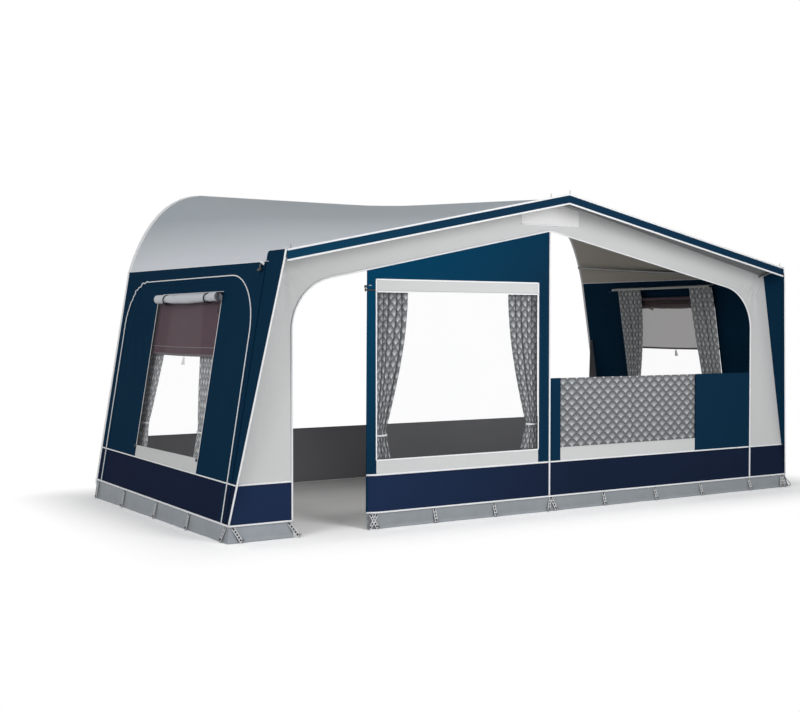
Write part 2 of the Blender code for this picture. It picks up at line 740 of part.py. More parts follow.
def right_folds():
    """Two panes of cloth that fold against each other behind the standing half."""
    first = joint_empty("right_fold_lower_joint", Vector((0, VERANDA_Y, VERANDA_Z)))
    near = VERANDA_Y + VERANDA_RADIUS + GAP
    fold_length = (band_z(FOLD_X[0]) - VERANDA_Z) / 2
    pane = rectangle(FOLD_X, (VERANDA_Z - fold_length, VERANDA_Z))
    bm = plate([pane], near, near + FABRIC, front_place())
    finish("right_fold_lower", bm, "canvas_blue", first)
    turn_y = near + FABRIC + GAP / 2
    turn_z = VERANDA_Z - fold_length
    second = joint_empty("right_fold_upper_joint", Vector((0, turn_y, turn_z)))
    raised = VERANDA_Z + fold_length
    outline = [(FOLD_X[0], turn_z), (FOLD_X[1], turn_z)]
    for x_share, z_share in FOLD_ARCH_SHARES:
        x = FOLD_X[1] * x_share
        outline.append((x, turn_z + band_z(x) * z_share - raised + FOLD_LAP))
    outline.append((FOLD_X[0], turn_z + band_z(FOLD_X[0]) - raised + FOLD_LAP))
    bm = plate([outline], turn_y + GAP / 2, turn_y + GAP / 2 + FABRIC, front_place())
    finish("right_fold_upper", bm, "canvas_blue", second)


# Side walls


def side_arch(clear):
    """The arch's outline from its front foot over the top to its rear foot."""
    low, high = ARCH_Y[0] + clear, ARCH_Y[1] - clear
    top = ARCH_TOP_Z - clear
    radius = ARCH_RADIUS - clear
    base = BASE_Z + clear
    points = [(low, base)]
    points += fillet((low, base), (low, top), (high, top), radius)
    points += fillet((low, top), (high, top), (high, base), radius)
    points.append((high, base))
    return points


def side_frame(side_name):
    place = wall_place(SIDES[side_name])
    arch = side_arch(0)
    outline = [(WING_SEAM_BASE_Y + GAP, BASE_Z), (WING_SEAM_TOP_Y + GAP, eave_z(WING_SEAM_TOP_Y))]
    outline += [(DEPTH, EAVE_REAR_Z), (DEPTH, BASE_Z)]
    outline += arch[::-1]
    finish(f"side_frame_{side_name}", plate([outline], 0, FABRIC, place), "canvas_blue", ROOT)


def side_panel(side_name):
    """The zip-out arch panel with all that it carries."""
    side = SIDES[side_name]
    place = wall_place(side)
    hinge = joint_empty(f"side_panel_{side_name}_fold", wall_point(side, 0, BASE_Z))
    window = rectangle(SIDE_WINDOW_Y, SIDE_WINDOW_Z)
    bm = plate([side_arch(GAP), window], 0, FABRIC, place)
    finish(f"side_panel_{side_name}", bm, "canvas_blue", hinge)
    pane = rectangle(SIDE_WINDOW_Y, SIDE_WINDOW_Z, GAP)
    foil_depth = (FABRIC - FOIL) / 2
    bm = plate([pane], foil_depth, foil_depth + FOIL, place)
    finish(f"side_window_{side_name}", bm, "foil_clear", hinge)
    storm_blind(side_name, hinge)
    roller_blind(side_name, hinge)


def side_curtains(side_name):
    """The track over the arch, on the fixed wall, and the two curtains that hang from it."""
    place = wall_place(SIDES[side_name])
    track(f"curtain_track_{side_name}", SIDE_TRACK_Y, SIDE_TRACK_Z, place, ROOT)
    rear_edge = SIDE_WINDOW_Y[1] + CURTAIN_PAST_REAR[side_name]
    curtain(f"curtain_{side_name}_front", SIDE_WINDOW_Y[0], 1, SIDE_TRACK_Z, place)
    curtain(f"curtain_{side_name}_rear", rear_edge, -1, SIDE_TRACK_Z, place)


def storm_blind(side_name, hinge):
    """The outer cover, rolled up over the window and held by two straps."""
    side = SIDES[side_name]
    out = -(STORM_STRAP_RADIUS + GAP)
    rear = SIDE_WINDOW_Y[1] - STORM_END_INSET
    start = wall_point(side, SIDE_WINDOW_Y[0] - STORM_START_OVERHANG, STORM_Z, out)
    end = wall_point(side, rear, STORM_Z, out)
    length = (end - start).length
    profile = [(0, 0), (0, STORM_END_RADIUS), (STORM_END_RADIUS, STORM_RADIUS)]
    for share in STORM_STRAP_SHARES:
        near = share * length - STORM_STRAP_WIDTH / 2
        far = share * length + STORM_STRAP_WIDTH / 2
        profile += [(near, STORM_RADIUS), (near, STORM_STRAP_RADIUS)]
        profile += [(far, STORM_STRAP_RADIUS), (far, STORM_RADIUS)]
    profile += [(length - STORM_END_RADIUS, STORM_RADIUS), (length, STORM_END_RADIUS), (length, 0)]
    roll = turned(profile, start, end)
    obj = finish(f"storm_blind_{side_name}", roll, "flap_grey", hinge, smooth=True)
    seam = rectangle((SIDE_WINDOW_Y[0], rear), (STORM_Z, STORM_Z + STORM_HEADER))
    header = plate([seam], -STORM_HEADER_THICK, -GAP, wall_place(side))
    fuse(obj, finish(f"storm_header_{side_name}_guide", header, "flap_grey", hinge), "header")


def roller_blind(side_name, hinge):
    side = SIDES[side_name]
    inset = FABRIC + GAP + ROLLER_END_RADIUS
    low = SIDE_WINDOW_Y[0] - ROLLER_OVERHANG
    high = SIDE_WINDOW_Y[1] + ROLLER_OVERHANG
    start = wall_point(side, low, ROLLER_Z, inset)
    end = wall_point(side, high, ROLLER_Z, inset)
    length = (end - start).length
    profile = [(0, 0), (0, ROLLER_END_RADIUS)]
    profile += [(ROLLER_END_WIDTH, ROLLER_END_RADIUS), (ROLLER_END_WIDTH, ROLLER_RADIUS)]
    profile += [(length - distance, radius) for distance, radius in reversed(profile)]
    roller = turned(profile, start, end)
    finish(f"blind_roller_{side_name}", roller, "trim_white", hinge, smooth=True)
    slide = joint_empty(f"roller_blind_{side_name}_joint", wall_point(side, low, BLIND_LOW_Z, inset))
    top = ROLLER_Z - ROLLER_RADIUS - GAP
    bar_top = BLIND_LOW_Z + BLIND_BAR[1]
    thin, thick = BLIND_THICK / 2, BLIND_BAR[0] / 2
    profile = [(-thin, top), (-thin, bar_top), (-thick, bar_top), (-thick, BLIND_LOW_Z)]
    profile += [(-depth, z) for depth, z in reversed(profile)]
    clear = ROLLER_END_WIDTH + 2 * GAP
    sections = []
    for y in (low + clear, high - clear):
        sections.append([wall_point(side, y, z, inset + depth) for depth, z in profile])
    finish(f"roller_blind_{side_name}", loft(sections), "blind_mauve", slide)


def track(name, span, top, place, parent):
    """A curtain track: a shelf off the panel with a lip that the curtain hangs from."""
    back = FABRIC + GAP
    front = TRACK_REACH + TRACK_LIP / 2
    lip_back = TRACK_REACH - TRACK_LIP / 2
    profile = [(back, top - TRACK_PLATE), (back, top), (front, top), (front, top - TRACK_DROP)]
    profile += [(lip_back, top - TRACK_DROP), (lip_back, top - TRACK_PLATE)]
    sections = [[place(along_track, z, depth) for depth, z in profile] for along_track in span]
    finish(name, loft(sections), "trim_white", parent)


def curtain_width(name, z, top_z):
    """Full at the track, drawn in at the tie and a little wider at the hem."""
    top_width, tie_width, low_width = CURTAIN_WIDTHS[name]
    if z < CURTAIN_TIE_Z:
        return lerp(tie_width, low_width, (CURTAIN_TIE_Z - z) / (CURTAIN_TIE_Z - CURTAIN_LOW_Z))
    share = (z - CURTAIN_TIE_Z) / (top_z - CURTAIN_TIE_Z)
    return lerp(tie_width, top_width, math.sin(share * math.pi / 2))


def curtain(name, start, toward, track_z, place):
    """A gathered curtain, tied back: cloth in upright folds that crowd at the tie."""
    top_z = track_z - TRACK_DROP - GAP
    pivot = joint_empty(f"{name}_joint", place(start, top_z, TRACK_REACH))
    steps = CURTAIN_FOLDS * CURTAIN_POINTS_A_FOLD
    levels = [lerp(CURTAIN_LOW_Z, CURTAIN_TIE_Z, share / 2) for share in range(2)]
    above = CURTAIN_LEVELS - len(levels)
    levels += [lerp(CURTAIN_TIE_Z, top_z, step / above) for step in range(above + 1)]
    grids = []
    for face in (-1, 1):
        grid = []
        for z in levels:
            span = curtain_width(name, z, top_z)
            row = []
            for k in range(steps + 1):
                wave = CURTAIN_WAVE * math.sin(2 * math.pi * k / CURTAIN_POINTS_A_FOLD)
                depth = TRACK_REACH + wave + face * CURTAIN_CLOTH / 2
                row.append(place(start + toward * span * k / steps, z, depth))
            grid.append(row)
        grids.append(grid)
    finish(name, sheet(*grids), "curtain_grey", pivot, smooth=True)


# Mud flaps, ladders and pegs


def front_peg(x):
    """Where a front ladder leaves its flap, and the direction it leaves in."""
    return Vector((x, 0, 0)), Vector((0, -1, 0))


def side_peg(side, y):
    return wall_point(side, y, BASE_Z) - Vector((0, 0, BASE_Z)), Vector((side, 0, 0))


def flap_out(z):
    """How far the flap's outer face stands out at a height."""
    return FLARE * (BASE_Z - z) / BASE_Z


def ladder_section(foot, out, z, distance):
    """The four corners of a ladder's slanted section."""
    across = Vector((-out.y, out.x, 0)) * LADDER_WIDTH / 2
    corners = []
    for side, drop in ((-1, 0), (1, 0), (1, LADDER_THICK), (-1, LADDER_THICK)):
        corners.append(foot + out * distance + across * side + Vector((0, 0, z - drop)))
    return corners


def add_pegs(flap, title, places):
    """Rubber ladders off the flap, each held down by a hooked peg."""
    ladders = bmesh.new()
    pegs = bmesh.new()
    for foot, out in places:
        root_out = flap_out(LADDER_TOP_Z) - LADDER_SINK
        sections = [
            ladder_section(foot, out, LADDER_TOP_Z, root_out),
            ladder_section(foot, out, LADDER_LOW_Z, LADDER_OUT),
        ]
        loft(sections, ladders)
        stand = LADDER_OUT - 2 * PEG_RADIUS
        route = [(stand, 0), (stand, PEG_HEAD_Z), (stand + PEG_HOOK_OUT, PEG_HEAD_Z)]
        route.append((stand + PEG_HOOK_OUT, PEG_HEAD_Z - PEG_HOOK_DROP))
        wire([foot + out * reach + Vector((0, 0, z)) for reach, z in route], PEG_RADIUS, bm=pegs)
    ladder_guide = finish(f"{title}_ladders_guide", ladders, "flap_grey", ROOT)
    peg_guide = finish(f"{title}_pegs_guide", pegs, "steel", ROOT)
    fuse(flap, ladder_guide, "ladders")
    fuse(flap, peg_guide, "pegs")


def flap_section(top):
    return [(0, top), (FABRIC, top), (FABRIC - FLARE, 0), (-FLARE, 0)]


def mud_flaps():
    corner_x = wall_x(0, BASE_Z, FABRIC + 2 * GAP)
    section = flap_section(BASE_Z - GAP)
    sections = [[Vector((x, y, z)) for y, z in section] for x in (-MIDDLE_X, corner_x)]
    flap = finish("mud_flap_front", loft(sections), "flap_grey", ROOT)
    span = (PEG_END_MARGIN - MIDDLE_X, HALF_FRONT - PEG_END_MARGIN)
    add_pegs(flap, "front", [front_peg(lerp(*span, share)) for share in RIGHT_PEG_SHARES])
    section = flap_section(BASE_Z - FABRIC * WALL_LEAN_SHARE - 2 * GAP)
    for side_name, side in SIDES.items():
        sections = []
        for y in (FABRIC + GAP, DEPTH):
            edge = HALF_FRONT + FRONT_TAPER_SHARE * y
            sections.append([Vector((side * (edge - depth), y, z)) for depth, z in section])
        flap = finish(f"mud_flap_{side_name}", loft(sections), "flap_grey", ROOT)
        add_pegs(flap, side_name, [side_peg(side, DEPTH * share) for share in SIDE_PEG_SHARES])


# Rear edge


def draught_skirt():
    """The skirt below the caravan's side, with a gusset up each wall."""
    inset = FABRIC + GAP
    low_x = wall_x(SKIRT_Y, BASE_Z, inset)
    half = [(low_x, 0), (low_x, BASE_Z), (wall_x(SKIRT_Y, SKIRT_GUSSET_Z, inset), SKIRT_GUSSET_Z)]
    half.append((wall_x(SKIRT_Y, SKIRT_GUSSET_Z, inset) - SKIRT_GUSSET_WIDTH[1], SKIRT_GUSSET_Z))
    half.append((wall_x(SKIRT_Y, SKIRT_Z, inset) - SKIRT_GUSSET_WIDTH[0], SKIRT_Z))
    outline = half + [(-x, z) for x, z in reversed(half)]
    bm = plate([outline], SKIRT_Y, SKIRT_Y + FABRIC, front_place())
    finish("draught_skirt", bm, "skirt_grey", ROOT)


def rail_bead():
    """The beaded edge that slides into the caravan's rail, from one foot over the top to the other."""
    halves = {}
    for side_name, side in SIDES.items():
        path = rail_path(side_name, FABRIC / 2)[1:]
        path.append(Vector((wall_x(DEPTH, BASE_Z, FABRIC / 2), BASE_Z)))
        halves[side_name] = [Vector((side * p.x, p.y)) for p in path]
    path = halves["left"][::-1] + halves["right"]
    flat = FABRIC / 2
    start = DEPTH + GAP
    waist = start + BEAD_WEB
    upper = [(flat, start), (flat, waist), (BEAD_RADIUS, waist + flat)]
    upper += [(BEAD_RADIUS, waist + BEAD_RADIUS + flat), (flat, waist + 2 * BEAD_RADIUS)]
    profile = upper + [(-off, y) for off, y in reversed(upper)]
    sections = []
    for i, point in enumerate(path):
        before = (point - path[i - 1]).normalized() if i else (path[1] - point).normalized()
        after = (path[i + 1] - point).normalized() if i + 1 < len(path) else before
        tangent = (before + after).normalized()
        across = Vector((-tangent.y, tangent.x)) / tangent.dot(before)
        section = []
        for off, y in profile:
            section.append(Vector((point.x + across.x * off, y, point.y + across.y * off)))
        sections.append(section)
    finish("rail_bead", loft(sections), "trim_white", ROOT, smooth=True)


# Frame


def leg_point(side, z):
    """A point on a corner leg's axis, which leans like the wall; the centre leg has side 0."""
    across = HALF_FRONT - LEG_INSET - WALL_LEAN_SHARE * (z - BASE_Z)
    return Vector((side * across, LEG_Y, z))


def leg(name, side, top_z, split_z):
    """An upper tube with a clamp collar and knob, and a lower tube with its foot."""
    top = leg_point(side, top_z)
    split = leg_point(side, split_z)
    foot = leg_point(side, 0)
    length = (top - split).length
    bore = length - TUBE_END
    profile = [(bore, 0), (bore, BORE_RADIUS), (0, BORE_RADIUS), (0, COLLAR_RADIUS)]
    profile += [(COLLAR_LENGTH, COLLAR_RADIUS), (COLLAR_LENGTH, OUTER_RADIUS)]
    profile += [(length, OUTER_RADIUS), (length, 0)]
    obj = finish(f"leg_upper_{name}", turned(profile, split, top), "steel", ROOT, smooth=True)
    clamp = leg_point(side, split_z + COLLAR_LENGTH / 2)
    boss_start = clamp + Vector((0, (BORE_RADIUS + COLLAR_RADIUS) / 2, 0))
    boss_end = clamp + Vector((0, COLLAR_RADIUS + BOSS_LENGTH, 0))
    boss = finish(f"boss_{name}_guide", rod(boss_start, boss_end, BOSS_RADIUS), "steel", ROOT)
    fuse(obj, boss, "boss")
    slide = joint_empty(f"leg_lower_{name}_joint", foot)
    direction = (top - foot).normalized()
    reach = (split - foot).length + LEG_LAP
    ground = foot + direction * (FOOT_RADIUS * WALL_LEAN_SHARE * abs(side))
    profile = [(0, 0), (0, FOOT_RADIUS), (FOOT_HEIGHT, FOOT_RADIUS), (FOOT_HEIGHT, INNER_RADIUS)]
    profile += [(reach, INNER_RADIUS), (reach, 0)]
    finish(f"leg_lower_{name}", turned(profile, ground, top), "steel", slide, smooth=True)
    knob(f"clamp_knob_{name}", boss_end + Vector((0, GAP, 0)))


def knob(name, start):
    """A three-lobed clamp knob on the collar's boss."""
    turn = joint_empty(f"{name}_joint", start)
    sections = []
    for y in (0, KNOB_LENGTH):
        ring = []
        for k in range(KNOB_SIDES):
            angle = 2 * math.pi * k / KNOB_SIDES
            radius = KNOB_RADIUS * (1 + KNOB_LOBE_SHARE * math.cos(KNOB_LOBES * angle))
            ring.append(start + Vector((radius * math.cos(angle), y, radius * math.sin(angle))))
        sections.append(ring)
    finish(name, loft(sections), "plastic_dark", turn, smooth=True)


def rafter(side_name):
    """Gable pole with the corner elbow and the short hood pole at its outer end."""
    side = SIDES[side_name]
    drop = FABRIC + GAP + RAFTER_RADIUS
    outer_x, corner_z = frame_corner()
    inner_x = APEX_HALF + GAP + RAFTER_RADIUS * math.sqrt(1 - roof_cosine() ** 2)
    start = Vector((side * inner_x, LEG_Y, below_roof_z(inner_x, drop)))
    end = Vector((side * outer_x, LEG_Y, corner_z))
    pole = rod(start, end, RAFTER_RADIUS)
    obj = finish(f"gable_pole_{side_name}", pole, "steel", ROOT, smooth=True)
    elbow_low = leg_point(side, corner_z - ELBOW_HEIGHT)
    elbow = finish(f"elbow_{side_name}_guide", rod(elbow_low, end, ELBOW_RADIUS), "plastic_dark", ROOT)
    fuse(obj, elbow, "elbow")
    back = end - Vector((0, 0, CORNER_POLE_DROP))
    front_x = outer_x - HOOD_POLE_TOE_IN
    front = Vector((side * front_x, HOOD_POLE_SHORT - HOOD_OUT, hood_pole_z(front_x)))
    fuse(obj, hood_pole(side_name, back, front), "hood_pole")


def hood_pole(name, back, front):
    pole = rod(back, front, HOOD_POLE_RADIUS, HOOD_POLE_SIDES)
    return finish(f"hood_pole_{name}_guide", pole, "steel", ROOT)


def hood_pole_z(x):
    """Height of a hood pole's front end, just under the hood."""
    return hood_front_z(x) - FABRIC / roof_cosine() - HOOD_POLE_RADIUS - HOOD_POLE_CLEAR


def apex_bracket():
    """The bracket where both gable poles, the centre leg and the ridge pole meet."""
    shoulder = below_roof_z(APEX_HALF, FABRIC + GAP) - GAP
    outline = rectangle((-APEX_HALF, APEX_HALF), (APEX_LOW_Z, shoulder))
    bm = plate([outline], APEX_Y[0], APEX_Y[1], front_place())
    obj = finish("apex_bracket", bm, "plastic_dark", ROOT)
    back = Vector((0, LEG_Y, RIDGE_FRONT_Z - APEX_POLE_DROP))
    front = Vector((0, HOOD_POLE_SHORT - HOOD_OUT, hood_pole_z(0)))
    fuse(obj, hood_pole("centre", back, front), "hood_pole")


def roof_pole(name, front, rear):
    """A telescoping pole from the front frame to the rail; its rear half slides in."""
    direction = (rear - front).normalized()
    front = front + direction * OUTER_RADIUS * math.sqrt(1 - direction.y**2)
    length = (rear - front).length
    outer_length = ROOF_POLE_SPLIT_SHARES[1] * length
    profile = [(0, 0), (0, OUTER_RADIUS - GAP), (outer_length, OUTER_RADIUS - GAP)]
    profile += [(outer_length, BORE_RADIUS), (TUBE_END, BORE_RADIUS), (TUBE_END, 0)]
    outer = turned(profile, front, front + direction * outer_length)
    finish(f"roof_pole_outer_{name}", outer, "steel", ROOT, smooth=True)
    inner_start = front + direction * (ROOF_POLE_SPLIT_SHARES[0] * length)
    slide = joint_empty(f"roof_pole_inner_{name}_joint", inner_start)
    reach = (rear - inner_start).length
    hook = reach - HOOK_LENGTH
    profile = [(0, 0), (0, INNER_RADIUS), (hook, INNER_RADIUS), (hook, HOOK_RADIUS)]
    profile += [(reach, HOOK_RADIUS), (reach, 0)]
    inner = turned(profile, inner_start, rear)
    finish(f"roof_pole_inner_{name}", inner, "steel", slide, smooth=True)


def roof_poles():
    drop = FABRIC + GAP + OUTER_RADIUS
    low_z = below_roof_z(0, drop)
    high_z = low_z + RAIL_Z - RIDGE_FRONT_Z
    rear_y = DEPTH - ROOF_POLE_REAR
    ends = []
    for y in (APEX_Y[1] + GAP, rear_y):
        ends.append(Vector((0, y, lerp(low_z, high_z, roof_rise(y)))))
    roof_pole("centre", *ends)
    front_y = LEG_Y + RAFTER_RADIUS + GAP
    depth = FABRIC + OUTER_RADIUS + ROOF_POLE_CLEAR
    for side_name in SIDES:
        path = rail_path(side_name, FABRIC + GAP)
        ends = []
        for y in (front_y, rear_y):
            point = roof_point(side_name, SIDE_POLE_SHARE, y, path)
            ends.append(point - roof_normal(side_name, SIDE_POLE_SHARE, y, path) * depth)
        ends[0].y = front_y
        roof_pole(side_name, *ends)


def veranda_rail():
    """The rail between the centre and right legs that the folded panel hangs over."""
    corner = leg_point(1, VERANDA_Z).x
    past = OUTER_RADIUS + VERANDA_OVERHANG
    start = Vector((-past, VERANDA_Y, VERANDA_Z))
    end = Vector((corner + past, VERANDA_Y, VERANDA_Z))
    finish("veranda_rail", rod(start, end, VERANDA_RADIUS), "steel", ROOT, smooth=True)


def build():
    for side_name in SIDES:
        roof_half(side_name)
        hood_half(side_name)
        wing(side_name)
        front_frame(side_name)
        side_frame(side_name)
        side_panel(side_name)
        side_curtains(side_name)
        rafter(side_name)
    middle_panel()
    right_panel()
    right_folds()
    mud_flaps()
    draught_skirt()
    rail_bead()
    corner_top = frame_corner()[1] - ELBOW_HEIGHT - GAP
    leg("left", -1, corner_top, LEG_SPLIT_Z)
    leg("centre", 0, CENTRE_LEG_TOP_Z, CENTRE_SPLIT_Z)
    leg("right", 1, corner_top, LEG_SPLIT_Z)
    apex_bracket()
    roof_poles()
    veranda_rail()


clear_scene()
ROOT = empty("awning_root", Vector((0, ROOT_Y, 0)))
bpy.context.view_layer.update()
build()
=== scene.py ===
"""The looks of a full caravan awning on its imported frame, in metres, +Z up, front towards -Y."""

import math
from functools import partialmethod

import bmesh
import bpy
import numpy as np
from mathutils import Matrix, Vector, noise

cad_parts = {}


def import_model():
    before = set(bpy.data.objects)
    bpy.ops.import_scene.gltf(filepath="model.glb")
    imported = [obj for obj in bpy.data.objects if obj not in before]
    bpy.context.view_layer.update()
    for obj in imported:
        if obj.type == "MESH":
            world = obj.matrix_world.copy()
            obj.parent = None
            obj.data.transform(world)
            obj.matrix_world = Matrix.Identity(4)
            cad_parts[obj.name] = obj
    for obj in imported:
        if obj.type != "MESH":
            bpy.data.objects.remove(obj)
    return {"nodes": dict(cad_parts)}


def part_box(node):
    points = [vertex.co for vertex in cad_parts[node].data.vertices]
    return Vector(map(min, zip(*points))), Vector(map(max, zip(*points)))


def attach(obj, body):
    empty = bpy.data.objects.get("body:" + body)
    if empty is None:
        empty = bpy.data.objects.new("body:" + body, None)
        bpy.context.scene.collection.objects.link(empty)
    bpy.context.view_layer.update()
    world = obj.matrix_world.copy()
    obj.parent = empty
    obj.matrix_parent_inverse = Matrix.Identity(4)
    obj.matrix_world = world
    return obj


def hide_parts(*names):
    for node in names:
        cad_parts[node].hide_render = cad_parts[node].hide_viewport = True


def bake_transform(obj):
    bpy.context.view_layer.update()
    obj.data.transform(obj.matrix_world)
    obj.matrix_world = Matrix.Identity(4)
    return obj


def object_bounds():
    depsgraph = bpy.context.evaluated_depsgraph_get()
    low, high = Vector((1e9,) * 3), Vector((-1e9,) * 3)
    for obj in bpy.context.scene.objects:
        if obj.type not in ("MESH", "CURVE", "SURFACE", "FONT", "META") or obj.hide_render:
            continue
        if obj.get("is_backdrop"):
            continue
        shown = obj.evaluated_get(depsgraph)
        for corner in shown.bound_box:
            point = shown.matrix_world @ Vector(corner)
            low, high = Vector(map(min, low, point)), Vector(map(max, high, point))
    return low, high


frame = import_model()
CAD_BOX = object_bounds()

# The awning's outline, as the frame has it; y counts from the front wall back to the rail
GAP = 0.0003
FABRIC = 0.003
DEPTH = 2.48
HALF_FRONT = 2.6
HALF_REAR = 2.705
BASE_Z = 0.11
EAVE_FRONT_Z = 1.815
EAVE_REAR_Z = 1.835
RIDGE_FRONT_Z = 2.35
RAIL_Z = 2.5
LEAN = 0.165
TAPER = (HALF_REAR - HALF_FRONT) / DEPTH
ROOF_SAG = 0.02
RAIL_TOP_INSET = {"left": 0.905, "right": 0.755}
RAIL_PULL = {"left": (0.485, 0.03), "right": (0.435, 0.0)}
HOOD_OUT = 0.226
HOOD_APEX_Z = 2.362
HOOD_EAVE_Z = 1.88
VALANCE = 0.07
SEAM_TOP_Y = 0.03
SEAM_BASE_Y = 0.06
LEG_Y = 0.056
LEG_PANEL_X = 2.155
FRONT_ARCH_RADIUS = 0.36
BAND_APEX_DEPTH = 0.242
BAND_EAVE_DEPTH = 0.189
MIDDLE_X = 1.58
MIDDLE_WINDOW_X = (0.107, 1.51)
RIGHT_WINDOW_X = (0.107, 1.515)
FRONT_WINDOW_Z = (0.47, 1.63)
FOLD_Z = 1.0
NAVY_Z = 0.37
STRIP_TOP = 0.088
ARCH_Y = (0.115, 2.37)
ARCH_TOP_Z = 1.74
ARCH_RADIUS = 0.34
ARCH_FRONT_RADIUS = 0.39
SIDE_WINDOW_Y = (0.62, 1.755)
SIDE_WINDOW_Z = (0.485, 1.6)
TRACK_REACH = 0.065
SKIRT_Y = 2.44
FLARE = 0.02
BASE_RISE = 0.037
EDGE_TURN = (0.07, 0.028)
STORM_Y = (0.6, 1.68)
STORM_STRAP_SHARES = (0.167, 0.838)
BLIND_Y = {"left": (0.5686, 1.8064), "right": (0.6, 1.79)}
BLIND_Z = (1.18, 1.6361)
BLIND_ROLL_Z = 1.655
BLIND_INSET = 0.0233
BLIND_TAB_HALF = {"left": 0.027, "right": 0.02}
ROOT_Y = (HOOD_OUT - DEPTH - 2 * 0.004 - 0.016 - GAP) / 2
SIDES = {"left": -1, "right": 1}

# Each curtain: where it starts along its track, which way it runs, the height of its tie, and
# its widths at the top, at the tie and at the hem
SIDE_CURTAIN_TOP_Z = 1.7517
MIDDLE_CURTAIN_TOP_Z = 1.6568
CURTAIN_TIE_Z = 0.66
CURTAIN_LOW_Z = 0.475
CURTAIN_WAVE = 0.0135
FOLD_WIDTH = 0.053
FULLNESS = 1.5
CURTAINS = {
    "middle_curtain_left": (1.51, -1, 0.636, (0.3, 0.115, 0.155)),
    "middle_curtain_right": (0.062, 1, 0.66, (0.27, 0.105, 0.155)),
    "curtain_left_front": (0.62, 1, 0.66, (0.45, 0.22, 0.23)),
    "curtain_left_rear": (1.925, -1, 0.66, (0.3, 0.17, 0.2)),
    "curtain_right_front": (0.57, 1, 0.66, (0.29, 0.22, 0.245)),
    "curtain_right_rear": (1.865, -1, 0.66, (0.33, 0.1, 0.14)),
}

# Pegs along the ground edge: how far along the edge, and how far each rubber ladder shifts
# sideways at its top and at its foot
UPRIGHT = ((0.0, 0.004),)
FRONT_PEGS = (
    (0.0, ((0.02, -0.05), (-0.03, 0.01))), (0.12, UPRIGHT), (0.247, UPRIGHT),
    (0.377, ((-0.003, -0.038), (0.004, 0.034))), (0.504, UPRIGHT), (0.636, UPRIGHT),
    (0.76, UPRIGHT), (0.9, UPRIGHT), (1.0, ((-0.004, -0.03), (0.006, 0.02))),
)
DOORWAY_PEGS = ((0.05, ((-0.008, 0.05),)), (1.0, ((-0.03, 0.02),)))
SIDE_PEGS = (
    (0.014, ((-0.006, -0.032),)), (0.25, UPRIGHT), (0.484, UPRIGHT), (0.742, UPRIGHT),
    (0.976, ((0.0, 0.01),)),
)

# Trim and cloth
PIPING = 0.0062
SIDE_PIPING = 0.0054
HOOD_PIPING = 0.007
ARCH_PIPING = 0.0043
PIPING_SUNK = 0.0005
WELD = 0.0012
CLOTH_STEP = 0.036
THIN = 0.0012

# Stage
SKY = 0.4
FLOOR_LIT = 0.8
FLOOR_SEEN = 1.4
# painted shade on the floor under the awning: its level at the rear, and from where to where it
# darkens
FLOOR_SHADE = 0.6
FLOOR_SHADE_Y = (0.8, 2.0)
FLOOR_BLEND = (0.0, 0.6)


# Points on the awning


def lerp(a, b, share):
    return a + (b - a) * share


def ripple(*place):
    """Smooth noise at a place given as three numbers."""
    return noise.noise(Vector(place))


def base_rise(y, z):
    """How far a wall's base lines climb to the rear; nothing from the window's foot up."""
    fade = (SIDE_WINDOW_Z[0] - z) / (SIDE_WINDOW_Z[0] - NAVY_Z)
    return BASE_RISE * max(y, 0) / DEPTH * min(max(fade, 0), 1)


def wall_point(side, y, z, inset=0.0):
    """A point of a side wall, moved inwards along the wall's normal."""
    z += base_rise(y, z)
    across = HALF_FRONT + TAPER * y - LEAN * (z - BASE_Z)
    normal = Vector((1, -TAPER, LEAN)).normalized()
    x = across - inset * normal.x
    return Vector((side * x, y - inset * normal.y + ROOT_Y, z - inset * normal.z))


def wall_x(y, z, inset=0.0):
    across = HALF_FRONT + TAPER * y - LEAN * (z - BASE_Z)
    return across - inset * Vector((1, TAPER, LEAN)).length


def on_wall(side):
    return lambda y, z, inset=0.0: wall_point(side, y, z, inset)


def on_front(x, z, inset):
    return Vector((x, inset + ROOT_Y, z))


def edge_turn(x, z):
    """How far back the middle panel's free edge is turned beside the doorway."""
    width, back = EDGE_TURN
    beside = (x + MIDDLE_X) / width
    return back * (1 - beside) * lerp(1, 0.2, min(z / 1.8, 1)) if -0.01 <= beside < 1 else 0.0


def on_middle(x, z, inset):
    return on_front(x, z, inset + edge_turn(x, z))


EAVE_X = wall_x(0, EAVE_FRONT_Z, FABRIC + GAP)
HOOD_EAVE_X = wall_x(-HOOD_OUT, HOOD_EAVE_Z, FABRIC + GAP)


def roof_front_z(x):
    return lerp(RIDGE_FRONT_Z, EAVE_FRONT_Z, abs(x) / EAVE_X)


def hood_front_z(x):
    return lerp(HOOD_APEX_Z, HOOD_EAVE_Z, abs(x) / HOOD_EAVE_X)


def band_z(x):
    return roof_front_z(x) - lerp(BAND_APEX_DEPTH, BAND_EAVE_DEPTH, abs(x) / EAVE_X)


def rail_path(side_name):
    """The rail's outline from its middle to the rear eave, as (x, z)."""
    steps = 24
    pull_in, pull_down = RAIL_PULL[side_name]
    top = Vector((HALF_REAR - RAIL_TOP_INSET[side_name], RAIL_Z))
    pull = Vector((HALF_REAR - pull_in, RAIL_Z - pull_down))
    eave = Vector((wall_x(DEPTH, EAVE_REAR_Z, FABRIC + GAP), EAVE_REAR_Z))
    shares = [step / steps for step in range(1, steps + 1)]
    curve = [top * (1 - t) ** 2 + pull * 2 * t * (1 - t) + eave * t**2 for t in shares]
    return [Vector((0, RAIL_Z)), top, *curve]


def along(path, share):
    lengths = [(b - a).length for a, b in zip(path, path[1:])]
    left = share * sum(lengths)
    for a, b, length in zip(path, path[1:], lengths):
        if left <= length:
            return a.lerp(b, left / length)
        left -= length
    return path[-1].copy()


RAILS = {name: rail_path(name) for name in SIDES}


